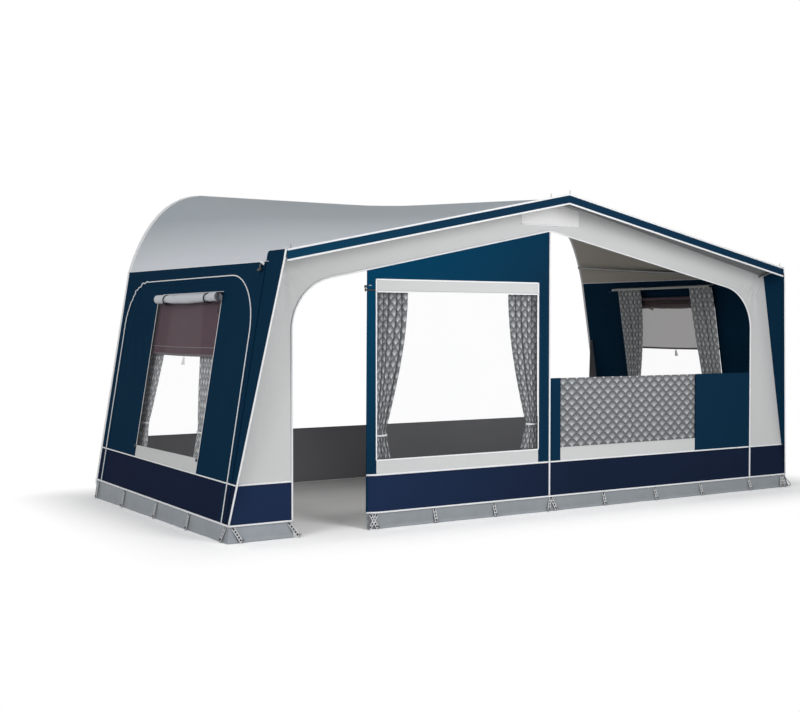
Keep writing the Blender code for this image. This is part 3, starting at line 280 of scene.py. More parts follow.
def roof_point(across, y):
    """A point of the roof; across runs from -1 at the left eave to 1 at the right one."""
    side_name = "left" if across < 0 else "right"
    share = abs(across)
    rear = along(RAILS[side_name], share)
    rise = max(y - LEG_Y, 0) / (DEPTH - LEG_Y)
    sag = ROOF_SAG * math.sin(math.pi * share) * math.sin(math.pi * rise) ** 2
    front_x = EAVE_X * share
    z = lerp(roof_front_z(front_x), rear.y, rise) - sag
    return Vector((SIDES[side_name] * lerp(front_x, rear.x, y / DEPTH), y + ROOT_Y, z))


def fillet(before, corner, after, radius, steps=14):
    """Points of an arc that rounds a corner between two straight lines."""
    before, corner, after = Vector(before), Vector(corner), Vector(after)
    back, on = (before - corner).normalized(), (after - corner).normalized()
    half = back.angle(on) / 2
    centre = corner + (back + on).normalized() * (radius / math.sin(half))
    start = corner + back * (radius / math.tan(half)) - centre
    end = corner + on * (radius / math.tan(half)) - centre
    turn = start.angle(end)
    points = []
    for step in range(steps + 1):
        share = step / steps
        a = math.sin((1 - share) * turn) / math.sin(turn)
        b = math.sin(share * turn) / math.sin(turn)
        points.append(tuple(centre + start * a + end * b))
    return points


def rectangle(across, up):
    (low_u, high_u), (low_v, high_v) = across, up
    return [(low_u, low_v), (high_u, low_v), (high_u, high_v), (low_u, high_v)]


def finer(path, step):
    """The same line with points close together."""
    points = [Vector(path[0])]
    for a, b in zip(path, path[1:]):
        a, b = Vector(a), Vector(b)
        count = max(1, math.ceil((b - a).length / step))
        points += [a.lerp(b, k / count) for k in range(1, count + 1)]
    return points


def surface_line(place, path, inset, step=0.05):
    return [place(u, v, inset) for u, v in finer(path, step)]


def moved(points, x, y, z):
    return [point + Vector((x, y, z)) for point in points]


# Materials


def screen(red, green, blue):
    """The linear colour of an 8-bit screen colour."""
    shares = [value / 255 for value in (red, green, blue)]
    return tuple(s / 12.92 if s <= 0.04045 else ((s + 0.055) / 1.055) ** 2.4 for s in shares)


def tinted(colour, factor):
    return tuple(min(channel * factor, 1.0) for channel in colour)


class Signal:
    """A number in a material, with arithmetic that adds the nodes for it."""

    def __init__(self, tree, socket):
        self.tree = tree
        self.socket = socket

    def apply(self, operation, *others, clamp=False):
        node = self.tree.nodes.new("ShaderNodeMath")
        node.operation = operation
        node.use_clamp = clamp
        for index, value in enumerate((self, *others)):
            if isinstance(value, Signal):
                self.tree.links.new(value.socket, node.inputs[index])
            else:
                node.inputs[index].default_value = value
        return Signal(self.tree, node.outputs[0])

    __add__ = partialmethod(apply, "ADD")
    __sub__ = partialmethod(apply, "SUBTRACT")
    __mul__ = partialmethod(apply, "MULTIPLY")
    __truediv__ = partialmethod(apply, "DIVIDE")

    def between(self, low, high):
        """0 below low, 1 above high, and a straight ramp in between."""
        return (self - low).apply("DIVIDE", high - low, clamp=True)


def object_axes(tree, output="Object"):
    split = tree.nodes.new("ShaderNodeSeparateXYZ")
    source = tree.nodes.new("ShaderNodeTexCoord")
    tree.links.new(source.outputs[output], split.inputs[0])
    return [Signal(tree, socket) for socket in split.outputs]


def seen_ray(tree):
    """1 for what the camera sees, also in reflections and through clear foil."""
    path = tree.nodes.new("ShaderNodeLightPath")
    seen = Signal(tree, path.outputs["Is Camera Ray"])
    seen = seen + Signal(tree, path.outputs["Is Glossy Ray"])
    return seen.apply("ADD", Signal(tree, path.outputs["Is Transmission Ray"]), clamp=True)


class Finish:
    """A material under construction, with short calls for the nodes it needs."""

    def __init__(self, name, roughness, **constants):
        self.material = bpy.data.materials.new(name)
        self.material.use_nodes = True
        self.tree = self.material.node_tree
        self.shader = self.tree.nodes["Principled BSDF"]
        self.shader.inputs["Roughness"].default_value = roughness
        for key, value in constants.items():
            self.shader.inputs[key.replace("_", " ")].default_value = value
        self.normal = None

    def node(self, kind, **settings):
        made = self.tree.nodes.new(kind)
        for key, value in settings.items():
            setattr(made, key, value)
        return made

    def attribute(self, name):
        """A number that the mesh holds at each of its points."""
        node = self.node("ShaderNodeAttribute", attribute_name=name)
        return Signal(self.tree, node.outputs["Fac"])

    def noise(self, scale, detail=3.0, stretch=(1, 1, 1), output="Object"):
        """Soft noise about 0.5, stretched along the axes."""
        source = self.node("ShaderNodeTexCoord")
        place = self.node("ShaderNodeMapping")
        place.inputs["Scale"].default_value = stretch
        texture = self.node("ShaderNodeTexNoise")
        texture.inputs["Scale"].default_value = scale
        texture.inputs["Detail"].default_value = detail
        self.tree.links.new(source.outputs[output], place.inputs["Vector"])
        self.tree.links.new(place.outputs["Vector"], texture.inputs["Vector"])
        return Signal(self.tree, texture.outputs["Fac"])

    def mix(self, factor, first, second):
        """A colour between two; each may be a colour or the output of another mix."""
        node = self.node("ShaderNodeMix", data_type="RGBA")
        self.tree.links.new(factor.socket, node.inputs[0])
        for index, colour in ((6, first), (7, second)):
            if isinstance(colour, tuple):
                node.inputs[index].default_value = (*colour, 1.0)
            else:
                self.tree.links.new(colour, node.inputs[index])
        return node.outputs[2]

    def paint(self, colour):
        self.tree.links.new(colour, self.shader.inputs["Base Color"])

    def rough(self, signal):
        self.tree.links.new(signal.socket, self.shader.inputs["Roughness"])

    def bump(self, signal, height, strength):
        node = self.node("ShaderNodeBump")
        node.inputs["Distance"].default_value = height
        node.inputs["Strength"].default_value = strength
        self.tree.links.new(signal.socket, node.inputs["Height"])
        if self.normal:
            self.tree.links.new(self.normal, node.inputs["Normal"])
        self.normal = node.outputs["Normal"]
        self.tree.links.new(self.normal, self.shader.inputs["Normal"])

    def weave(self, pitch):
        """Crossing threads on any upright or level cloth."""
        turns = 2 * math.pi / pitch
        x, y, z = [(axis * turns).apply("SINE") for axis in object_axes(self.tree)]
        return x + y + z


def canvas(name, colour, roughness=0.82, contrast=0.06, second=None, painted_light_slope=None, shine=0.06):
    """Coated woven cloth; x and z times the light slope, plus its start, blend to a darker second
    colour, which paints light and shade across the cloth.
    """
    finish = Finish(name, roughness, Specular_IOR_Level=shine)
    broad = finish.noise(1.6, 4)
    streaks = finish.noise(2.4, 2, stretch=(3.5, 3.5, 0.35))
    threads = finish.noise(420, 2)
    tone = broad * 0.45 + streaks * 0.35 + threads * 0.2
    painted = finish.mix(tone, tinted(colour, 1 - contrast), tinted(colour, 1 + contrast))
    # painted light and shade: a slope from the lit colour to the darker second one
    if second:
        along_x, along_z, start = painted_light_slope
        x, _, z = object_axes(finish.tree)
        share = (x * along_x + z * along_z + start).between(0.0, 1.0)
        painted_shade_tone = finish.mix(tone, tinted(second, 1 - contrast), tinted(second, 1 + contrast))
        painted = finish.mix(share, painted, painted_shade_tone)
    finish.paint(painted)
    finish.rough(broad * 0.16 + (roughness - 0.08))
    finish.bump(finish.weave(0.0016), 0.00012, 0.5)
    finish.bump(finish.noise(26, 3), 0.0012, 0.35)
    finish.bump(finish.noise(5, 2), 0.006, 0.25)
    return finish.material


def vinyl(name, colour, roughness=0.5, grime=0.0):
    """Smooth coated sheet with a fine grain."""
    finish = Finish(name, roughness, Specular_IOR_Level=0.45)
    tone = finish.noise(3, 4) * 0.7 + finish.noise(240, 2) * 0.3
    painted = finish.mix(tone, tinted(colour, 0.88), tinted(colour, 1.1))
    if grime:
        low = (object_axes(finish.tree)[2] * -1).between(-0.12, 0.0)
        patchy = finish.noise(14, 5).between(0.3, 0.7)
        painted = finish.mix(low * patchy * grime, painted, screen(96, 88, 76))
    finish.paint(painted)
    finish.rough(finish.noise(9, 3) * 0.2 + (roughness - 0.1))
    finish.bump(finish.noise(700, 2), 0.0002, 0.4)
    finish.bump(finish.noise(18, 3), 0.003, 0.3)
    return finish.material


def clear_foil(name, alpha):
    finish = Finish(name, 0.07, Alpha=alpha, Specular_IOR_Level=0.7)
    haze = finish.noise(2.2, 4)
    finish.paint(finish.mix(haze, screen(176, 180, 184), screen(222, 224, 226)))
    finish.rough(haze * 0.08 + 0.03)
    finish.bump(finish.noise(3.5, 2), 0.01, 0.6)
    return finish.material


def scale_print(name, dark, light, depth=1.0):
    """Curtain cloth with the common fish-scale print, darkened by painted fold shade as strong as
    depth; its map coordinates are metres of cloth.
    """
    finish = Finish(name, 0.86, Specular_IOR_Level=0.12)
    pitch, rise, radius = 0.092, 0.0395, 0.059
    u, v, _ = object_axes(finish.tree, "UV")
    level = v / rise
    row = level.apply("FLOOR")
    inside = level - row

    def scale_at(step):
        """The tone of the scale rooted so many rows up, and where it covers the cloth."""
        shift = ((row + step) * 0.5).apply("FRACT")
        across = ((u / pitch + shift).apply("FRACT") - 0.5) * pitch
        up = (inside - step) * rise
        reach = (across * across + up * up).apply("SQRT") / radius
        glow = (reach * -1.25 + 0.95).between(0.0, 1.0) * 0.86
        field = reach.between(0.98, 0.82) * 0.1
        return glow + field, reach.apply("LESS_THAN", 1.0)

    above, _ = scale_at(1)
    here, here_covers = scale_at(0)
    below, below_covers = scale_at(-1)
    tone = above + (here - above) * here_covers
    tone = tone + (below - tone) * below_covers
    tone = tone + finish.noise(900, 2, output="UV") * 0.12 - 0.04
    printed = finish.mix(tone.between(0.0, 1.0), dark, light)
    # painted shade: the mesh's fold number darkens the print in the folds, times depth
    finish.paint(finish.mix(finish.attribute("fold") * depth, printed, screen(30, 31, 34)))
    finish.rough(tone * 0.1 + 0.78)
    across, up = [(axis * (2 * math.pi / 0.0014)).apply("SINE") for axis in (u, v)]
    finish.bump(across + up, 0.0001, 0.5)
    finish.bump(finish.noise(40, 3, output="UV"), 0.0008, 0.4)
    return finish.material


def blind_cloth(name, alpha, colour):
    finish = Finish(name, 0.75, Alpha=alpha, Specular_IOR_Level=0.1)
    tone = finish.noise(4, 3) * 0.6 + finish.noise(300, 2) * 0.4
    finish.paint(finish.mix(tone, tinted(colour, 0.85), tinted(colour, 1.15)))
    finish.rough(tone * 0.14 + 0.68)
    finish.bump(finish.weave(0.0014), 0.0001, 0.5)
    finish.bump(finish.noise(6, 2), 0.004, 0.3)
    return finish.material


def piping_white():
    finish = Finish("trim_white", 0.42, Specular_IOR_Level=0.5)
    tone = finish.noise(12, 4)
    finish.paint(finish.mix(tone, screen(244, 247, 252), screen(255, 255, 255)))
    finish.rough(tone * 0.2 + 0.32)
    finish.bump(finish.weave(0.0024), 0.0002, 0.6)
    return finish.material


def steel():
    """Galvanised tube with fine draw lines, dull patches and a few scuffs."""
    finish = Finish("steel", 0.45, Metallic=0.85)
    cloudy = finish.noise(16, 4)
    lines = finish.noise(60, 3, stretch=(14, 14, 0.4))
    scuffs = finish.noise(34, 6).between(0.66, 0.72)
    painted = finish.mix(cloudy, screen(88, 89, 90), screen(120, 121, 122))
    finish.paint(finish.mix(scuffs * 0.5, painted, screen(62, 60, 58)))
    finish.rough(cloudy * 0.22 + lines * 0.14 + 0.28)
    finish.bump(lines, 0.0002, 0.5)
    return finish.material


def plastic(name, colour, roughness=0.5):
    finish = Finish(name, roughness, Specular_IOR_Level=0.5)
    tone = finish.noise(20, 4)
    finish.paint(finish.mix(tone, tinted(colour, 0.85), tinted(colour, 1.15)))
    finish.rough(tone * 0.2 + (roughness - 0.1))
    finish.bump(finish.noise(900, 2), 0.0001, 0.6)
    return finish.material


MATERIALS = {
    "petrol": canvas("canvas_petrol", screen(13, 46, 70), shine=0.02),
    # painted light: the front is painted brighter at the top left and darker towards the lower
    # right, as the front light and its sheen fall
    "petrol_front": canvas("canvas_petrol_front", screen(6, 67, 99), shine=0.02,
                           second=screen(15, 48, 72), painted_light_slope=(0.65, -0.77, 2.32)),
    # painted light: the valance is painted brighter at its left end and darker to the right
    "petrol_hood": canvas("canvas_petrol_hood", screen(17, 62, 89), shine=0.02,
                          second=screen(18, 49, 73), painted_light_slope=(0.8, 0.0, 1.6)),
    "navy": canvas("canvas_navy", screen(24, 34, 58), shine=0.03),
    # painted light: the front navy is painted brighter at the left and darker to the right
    "navy_front": canvas("canvas_navy_front", screen(33, 49, 80), shine=0.03,
                         second=screen(25, 36, 58), painted_light_slope=(0.55, 0.0, 0.83)),
    "band": canvas("canvas_light", screen(213, 214, 214), contrast=0.03, shine=0.2),
    "patch": canvas("canvas_patch", screen(238, 238, 238), contrast=0.02, shine=0.2),
    "strip": canvas("canvas_strip", screen(212, 213, 213), 0.6, 0.03, shine=0.3),
    # painted light: the roof is painted lighter low down near the eaves, where the cloth turns to
    # the light, and darker up towards the ridge
    "roof": canvas("canvas_roof", screen(228, 233, 240), 0.7, 0.03, shine=0.2,
                   second=screen(182, 190, 196), painted_light_slope=(0.05, 2.6, -4.75)),
    "lining": canvas("canvas_lining", screen(190, 185, 176), contrast=0.05),
    # painted shade: the hood's underside, a dark grey that stands for the shade under the hood
    "hood_lining": canvas("canvas_hood_underside_shade", screen(132, 133, 134), contrast=0.05),
    "flap": vinyl("flap_grey", screen(150, 157, 164), grime=0.2),
    "flap_front": vinyl("flap_front", screen(142, 148, 153), grime=0.15),
    "flap_hem": vinyl("flap_hem", screen(146, 152, 158)),
    "storm": vinyl("storm_grey", screen(200, 204, 210)),
    "skirt": vinyl("skirt_grey", screen(98, 98, 102), 0.6, grime=0.2),
    "foil": clear_foil("foil_clear", 0.07),
    "foil_side": clear_foil("foil_side", 0.05),
    "print": scale_print("curtain_print", screen(70, 74, 78), screen(226, 228, 230)),
    "print_gathered": scale_print("curtain_print_gathered", screen(78, 82, 86),
                                  screen(240, 242, 244)),
    # painted light: a lighter copy of the print, with weaker painted fold shade, for the side
    # curtains that hang in the shade inside
    "print_side": scale_print("curtain_print_side", screen(132, 136, 141),
                              screen(255, 255, 255), 0.55),
    # painted light and shade: the left blind is a dark, nearly solid copy seen in shade, the right
    # a lighter, thinner copy that looks lit from behind
    "blind_left": blind_cloth("blind_mauve_left", 0.985, (0.085, 0.045, 0.06)),
    "blind_right": blind_cloth("blind_mauve_right", 0.72, (0.11, 0.078, 0.078)),
    "blind_roll": blind_cloth("blind_mauve_roll", 1.0, (0.13, 0.095, 0.11)),
    "blind_seam": blind_cloth("blind_mauve_seam", 1.0, (0.21, 0.18, 0.19)),
    "blind_bar": plastic("blind_bar", screen(74, 64, 70)),
    "white": piping_white(),
    "steel": steel(),
    "dark": plastic("plastic_dark", screen(44, 45, 48)),
    "rubber": plastic("rubber_light", screen(214, 216, 218), 0.7),
    # painted shadow: the dark strip behind each rubber ladder
    "ladder_painted_shadow": plastic("ladder_painted_shadow", screen(52, 54, 58), 0.7),
    "track": plastic("plastic_white", screen(168, 169, 168), 0.4),
}
SLOTS = {
    "canvas_blue": ("petrol", "petrol_front", "petrol_hood"),
    "canvas_grey": ("band", "patch", "strip", "roof"),
    "flap_grey": ("flap", "flap_front", "storm"),
    "skirt_grey": ("skirt",),
    "foil_clear": ("foil", "foil_side"),
    "curtain_grey": ("print", "print_gathered", "print_side"),
    "blind_mauve": ("blind_left", "blind_right", "blind_roll", "blind_seam"),
    "plastic_dark": ("dark", "rubber", "blind_bar"),
    "trim_white": ("white", "track"),
    "steel": ("steel",),
}
SLOT_OF = {key: slot for slot, keys in SLOTS.items() for key in keys}


# Pieces


def link(name, data):
    obj = bpy.data.objects.new(name, data)
    bpy.context.scene.collection.objects.link(obj)
    return obj


def piece(name, bm, keys, body="awning", nodes=(), smooth=True, slot=None):
    """Turns the mesh under work into a piece that rides on a body, or on none if it bends."""
    for edge in bm.edges:
        if edge.is_boundary:
            edge.smooth = False
    mesh = bpy.data.meshes.new(name)
    bm.to_mesh(mesh)
    bm.free()
    for key in keys:
        mesh.materials.append(MATERIALS[key])
    if smooth:
        mesh.shade_smooth()
    obj = link(name, mesh)
    if body:
        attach(obj, body)
    slot or SLOT_OF[keys[0]]
    if nodes:
        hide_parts(*nodes)
    return obj


def mesh_area(obj):
    return sum(face.area for face in obj.data.polygons)


def declare(obj, across, up, area=None):
    """Works out a cloth's cut size, a narrow frame of cloth counting as the strip it is cut from,
    and keeps nothing of it.
    """
    area = area or mesh_area(obj)
    if area < 0.32 * across * up:
        up = across + up
        across = area / up * 1.15
    min(area, across * up)


def thicken(obj, thickness, inner_offset=0):
    """Gives a sheet its thickness; the inside may take the next material."""
    solid = obj.modifiers.new("thickness", "SOLIDIFY")
    solid.thickness = thickness
    solid.offset = -1
    solid.material_offset = inner_offset


def grid(levels, columns, cell):
    """What cell says at each (share upwards, share across), row by row."""
    return [[cell(i / levels, j / columns) for j in range(columns + 1)] for i in range(levels + 1)]


def add_grid(bm, rows, uvs=None, index=0, folds=None):
    """Faces between rows of points, with map coordinates and painted shade in the folds where
    given.
    """
    layer = bm.loops.layers.uv.verify() if uvs else None
    depth = bm.verts.layers.float.new("fold") if folds else None
    verts = [[bm.verts.new(point) for point in row] for row in rows]
    if folds:
        for line, values in zip(verts, folds):
            for vert, value in zip(line, values):
                vert[depth] = value
    for i in range(len(rows) - 1):
        for j in range(len(rows[0]) - 1):
            corners = ((i, j), (i, j + 1), (i + 1, j + 1), (i + 1, j))
            face = bm.faces.new([verts[a][b] for a, b in corners])
            face.material_index = index
            if uvs:
                for loop, (a, b) in zip(face.loops, corners):
                    loop[layer].uv = uvs[a][b]
    return bm


def printed_grid(cells):
    """A grid of (point, map coordinates, painted shade in the folds)."""
    points, uvs, folds = [[[cell[k] for cell in row] for row in cells] for k in range(3)]
    return add_grid(bmesh.new(), points, uvs, folds=folds)


def ring(radius, sides=6):
    steps = [2 * math.pi * (k + 0.5) / sides for k in range(sides)]
    return [(radius * math.cos(angle), radius * math.sin(angle)) for angle in steps]


def flat_section(width, thickness):
    half, top = width / 2, thickness / 2
    return [(-half, -top), (half, -top), (half, top), (-half, top)]


def sweep(bm, points, section, up=None, closed=False, index=0):
    """Draws a section of (sideways, upwards) offsets along a line of points."""
    points = [Vector(p) for p in points]
    guide = Vector(up) if up is not None else None
    rings = []
    for i, point in enumerate(points):
        before = points[i - 1] if i or closed else point
        after = points[(i + 1) % len(points)] if i + 1 < len(points) or closed else point
        tangent = (after - before).normalized()
        if guide is None:
            guide = tangent.orthogonal()
        lift = (guide - tangent * guide.dot(tangent)).normalized()
        if up is None:
            guide = lift
        aside = tangent.cross(lift)
        rings.append([bm.verts.new(point + aside * a + lift * b) for a, b in section])
    pairs = list(zip(rings, rings[1:])) + ([(rings[-1], rings[0])] if closed else [])
    count = len(section)
    made = []
    for first, second in pairs:
        for k in range(count):
            after = (k + 1) % count
            made.append(bm.faces.new((first[k], first[after], second[after], second[k])))
    if not closed:
        made += [bm.faces.new(rings[0][::-1]), bm.faces.new(rings[-1])]
    for face in made:
        face.material_index = index
    return bm


# Flat-cut cloth


def segment_distance(points, lines):
    """Each point's distance to the nearest of some lines, all in the cut's plane."""
    nearest = np.full(len(points), 10.0)
    for line in lines:
        for a, b in zip(line, line[1:]):
            a, b = np.array(a, float), np.array(b, float)
            run = b - a
            share = np.clip((points - a) @ run / max(run @ run, 1e-12), 0, 1)
            away = np.linalg.norm(points - a - share[:, None] * run, axis=1)
            nearest = np.minimum(nearest, away)
    return nearest


def unevenness(points, held_lines, loose, seed, pulls):
    """How far each point of a stretched cloth stands out of its plane."""
    fade = np.clip(segment_distance(points, held_lines) / 0.13, 0, 1)
    fade = fade * fade * (3 - 2 * fade)
    depth = np.zeros(len(points))
    for i, (u, v) in enumerate(points):
        broad = ripple(u * 1.7, v * 1.7, seed)
        depth[i] = loose * (broad + 0.4 * ripple(u * 5, v * 4, seed + 9))
    for at_u, at_v, reach, waves, height in pulls:
        du, dv = points[:, 0] - at_u, points[:, 1] - at_v
        away = np.hypot(du, dv)
        fold = np.sin(np.arctan2(dv, du) * waves + seed)
        depth += height * fold * np.exp(-(away / reach) ** 1.5) * np.clip(away / 0.05, 0, 1)
    return depth * fade


def cut_mesh(loops, lines_u, lines_v, step):
    """A flat cut with holes in the (u, v) plane, divided into small faces."""
    bm = bmesh.new()
    edges = []
    for loop in loops:
        verts = [bm.verts.new((u, v, 0)) for u, v in loop]
        edges += [bm.edges.new(pair) for pair in zip(verts, verts[1:] + verts[:1])]
    bmesh.ops.triangle_fill(bm, use_beauty=True, edges=edges)
    outer = np.array(loops[0])
    for axis, extra in ((0, lines_u), (1, lines_v)):
        low, high = outer[:, axis].min(), outer[:, axis].max()
        count = max(1, round((high - low) / step))
        values = [lerp(low, high, k / count) for k in range(1, count)]
        values = [v for v in values if all(abs(v - line) > step / 3 for line in extra)]
        for value in values + [line for line in extra if low < line < high]:
            across = Vector((value, 0, 0)) if axis == 0 else Vector((0, value, 0))
            bmesh.ops.bisect_plane(bm, geom=bm.verts[:] + bm.edges[:] + bm.faces[:],
                                   plane_co=across, plane_no=across.normalized())
    return bm


def cloth(name, body, nodes, loops, place, paints, seed, loose=0.003,
          step=CLOTH_STEP, held_lines=(), pulls=(), lift=0.0, thickness=0.0):
    """A stretched cloth: paints is the ground material, then (material, u span, v span)."""
    zones = paints[1:]
    lines_u = sorted({edge for _, span, _ in zones for edge in span})
    lines_v = sorted({edge for _, _, span in zones for edge in span})
    bm = cut_mesh(loops, lines_u, lines_v, step)
    for face in bm.faces:
        u, v, _ = face.calc_center_median()
        for index, (_, across, up) in enumerate(zones, 1):
            if across[0] < u < across[1] and up[0] < v < up[1]:
                face.material_index = index
    points = np.array([vert.co[:2] for vert in bm.verts])
    edges = [loop + loop[:1] for loop in loops] + list(held_lines)
    out = place(*points[0], -1) - place(*points[0], 0)
    for vert, offset in zip(bm.verts, unevenness(points, edges, loose, seed, pulls)):
        vert.co = place(vert.co.x, vert.co.y, float(offset) + lift)
    bm.normal_update()
    for face in bm.faces:
        if face.normal.dot(out) < 0:
            face.normal_flip()
    obj = piece(name, bm, [paints[0]] + [key for key, _, _ in zones], body, nodes)
    across, up = (points.max(0) - points.min(0)).tolist()
    declare(obj, across, up)
    if thickness:
        thicken(obj, thickness)


def trim(name, paths, radius, key="white", body="awning"):
    """Piping or cord sewn along several lines, as one piece."""
    bm = bmesh.new()
    for path in paths:
        sweep(bm, path, ring(radius))
    piece(name, bm, [key], body)


def piping(name, place, paths, radius=PIPING, key="white", body="awning", step=0.05):
    """Piping that stands proud of a surface, so that it doesn't show on the inside."""
    lines = [surface_line(place, path, PIPING_SUNK - radius, step) for path in paths]
    trim(name, lines, radius, key, body)


def tapes(name, place, paths, out, width, thickness=WELD, inset=-WELD, key="white",
          body="awning", step=0.05):
    """Flat sewn tape along several lines, lying on a surface that faces out."""
    bm = bmesh.new()
    for path in paths:
        sweep(bm, surface_line(place, path, inset, step), flat_section(width, thickness), up=out)
    piece(name, bm, [key], body, smooth=False)


# Roof and hood


def roof():
    """One continuous canopy from eave to eave, drawn down a little between its poles."""
    def canopy(rise, share):
        across = 2 * share - 1
        point = roof_point(across, DEPTH * rise)
        hold = math.sin(math.pi * rise) * min(1, (1 - abs(across)) * 6)
        wave = ripple(point.x * 1.1, point.y * 1.3, 3)
        fine = ripple(point.x * 6, point.y * 0.9, 8)
        gather = math.sin(point.x * 26) * max(0, rise - 0.72) * 0.012
        lift = hold * (0.006 * wave + 0.0018 * fine + gather - 0.003)
        over_pole = min(1.0, abs(point.x) / 0.14)
        point.z += lift * over_pole if lift < 0 else lift
        return point

    rows = grid(56, 96, canopy)
    obj = piece("roof_cloth", add_grid(bmesh.new(), rows), ["roof", "lining"],
                nodes=["roof_left", "roof_right"])
    width = sum((b - a).length for a, b in zip(rows[-1], rows[-1][1:]))
    declare(obj, width, DEPTH + 0.05)
    thicken(obj, 0.0016, 1)
    eaves = [[roof_point(side, DEPTH * k / 40) for k in range(41)] for side in (-1, 1)]
    trim("eave_piping", eaves, 0.0042)
    strip = []
    columns = 160
    for back, lift in ((0.03, 0.0006), (0.026, 0.0028), (0.002, 0.0028), (0, 0.0006)):
        line = [roof_point(2 * j / columns - 1, DEPTH - back) for j in range(columns + 1)]
        runs = [line[min(j + 1, columns)] - line[max(j - 1, 0)] for j in range(columns + 1)]
        strip.append([point + Vector((-run.z, 0, run.x)).normalized() * lift
                      for point, run in zip(line, runs)])
    piece("rear_strip", add_grid(bmesh.new(), strip), ["white"])


def hood():
    """The hood's top and its hanging valance, one sheet bent over the front edge."""
    columns, bend = 120, 0.006

    def point(share, drop, across):
        x = lerp(EAVE_X, HOOD_EAVE_X, share) * across
        z = lerp(roof_front_z(EAVE_X * across), hood_front_z(HOOD_EAVE_X * across), share)
        y = -HOOD_OUT * share
        wave = ripple(x * 4, drop * 8, 21)
        hold = min(1, (1 - abs(across)) * 10)
        if drop:
            y += hold * (0.0035 * wave * drop / VALANCE)
        else:
            z += hold * 0.0025 * wave * math.sin(math.pi * share)
        return Vector((x, y + ROOT_Y, z - drop))

    rows = [(share, 0.0) for share in (0, 0.25, 0.5, 0.75, 0.96)]
    rows += [(1.0, drop * bend) for drop in (0.15, 0.5, 1)]
    rows += [(1.0, lerp(bend, VALANCE, drop)) for drop in (0.25, 0.5, 0.75, 1)]
    points = [[point(*row, 2 * j / columns - 1) for j in range(columns + 1)] for row in rows]
    bm = add_grid(bmesh.new(), [row[::-1] for row in points])
    obj = piece("hood_cloth", bm, ["petrol_hood", "hood_lining"],
                nodes=["hood_left", "hood_right"])
    declare(obj, 4.75, 0.3)
    # the inside takes the hood's underside, painted in shade
    thicken(obj, 0.0014, 1)
    edges = [moved(points[6], 0, -0.001, 0), moved(points[-1], 0, -0.002, 0)]
    trim("hood_piping", edges, HOOD_PIPING)
    trim("hood_seam", [moved(points[0], 0, 0, 0.001)], 0.003, "roof")
    pins = bmesh.new()
    end_x = HOOD_EAVE_X - 0.03
    for x in (-end_x, -0.165, 0.012, end_x):
        foot = Vector((x, -HOOD_OUT + 0.008 + ROOT_Y, hood_front_z(x)))
        sweep(pins, [foot + Vector((0, 0, z)) for z in (0, 0.024, 0.031)], ring(0.0028, 8))
        sweep(pins, [foot, foot + Vector((0, 0, 0.003))], ring(0.01, 12))
    piece("hood_pins", pins, ["track"], slot="steel")


def wings():
    """The hood's end pieces, each with its trim and the toggle at its corner."""
    top = HOOD_EAVE_Z + 0.006
    seam = [(SEAM_BASE_Y, BASE_Z), (SEAM_TOP_Y, EAVE_FRONT_Z)]
    crown = fillet(seam[1], (SEAM_TOP_Y, top), (-HOOD_OUT, top), 0.03, 8)
    low = [(-HOOD_OUT, HOOD_EAVE_Z - VALANCE), (0, BASE_Z)]
    for side_name, side in SIDES.items():
        place = on_wall(side)
        cloth(f"wing_cloth_{side_name}", "awning", [f"wing_{side_name}"],
              [[(-HOOD_OUT, top), *low, *seam, *crown]], place,
              ["petrol", ("navy", (-1, 1), (0, NAVY_Z))], 31 + side, loose=0.004,
              pulls=[(-HOOD_OUT, 1.84, 0.5, 22, 0.004)], thickness=THIN)
        piping(f"wing_piping_{side_name}", place, [[(-HOOD_OUT, top - 0.004), *low]])
        piping(f"wing_navy_piping_{side_name}", place,
               [[(-0.018, NAVY_Z), (SEAM_BASE_Y, NAVY_Z)]], SIDE_PIPING)
        piping(f"corner_seam_{side_name}", place, [seam], 0.003, "petrol")
        piping(f"wing_rim_{side_name}", place, [[seam[1], *crown, (-HOOD_OUT, top)]], 0.0035,
               "roof")
        toggle(f"corner_toggle_{side_name}", place)


def toggle(name, place):
    """A light strap end and its dark toggle, at the corner under the eave."""
    out = place(0, 1, -1) - place(0, 1, 0)
    tab = ((0.125, 1.826, -0.006), (0.085, 1.812, -0.01), (0.04, 1.797, -0.008))
    strap = sweep(bmesh.new(), [place(*p) for p in tab], flat_section(0.018, 0.003), up=out)
    piece(f"{name}_strap", strap, ["white"])
    loop = ((0.085, 1.81, -0.006), (0.08, 1.79, -0.016), (0.078, 1.765, -0.014))
    bar = ((0.056, 1.762, -0.014), (0.066, 1.761, -0.017), (0.09, 1.759, -0.017),
           (0.1, 1.758, -0.014))
    bm = sweep(bmesh.new(), [place(*p) for p in loop], flat_section(0.02, 0.003), up=out)
    piece(name, sweep(bm, [place(*p) for p in bar], ring(0.009, 12)), ["dark"])


# Front


def arch_path(side):
    corner = (side * LEG_PANEL_X, band_z(LEG_PANEL_X))
    return fillet((0, band_z(0)), corner, (side * LEG_PANEL_X, BASE_Z), FRONT_ARCH_RADIUS)


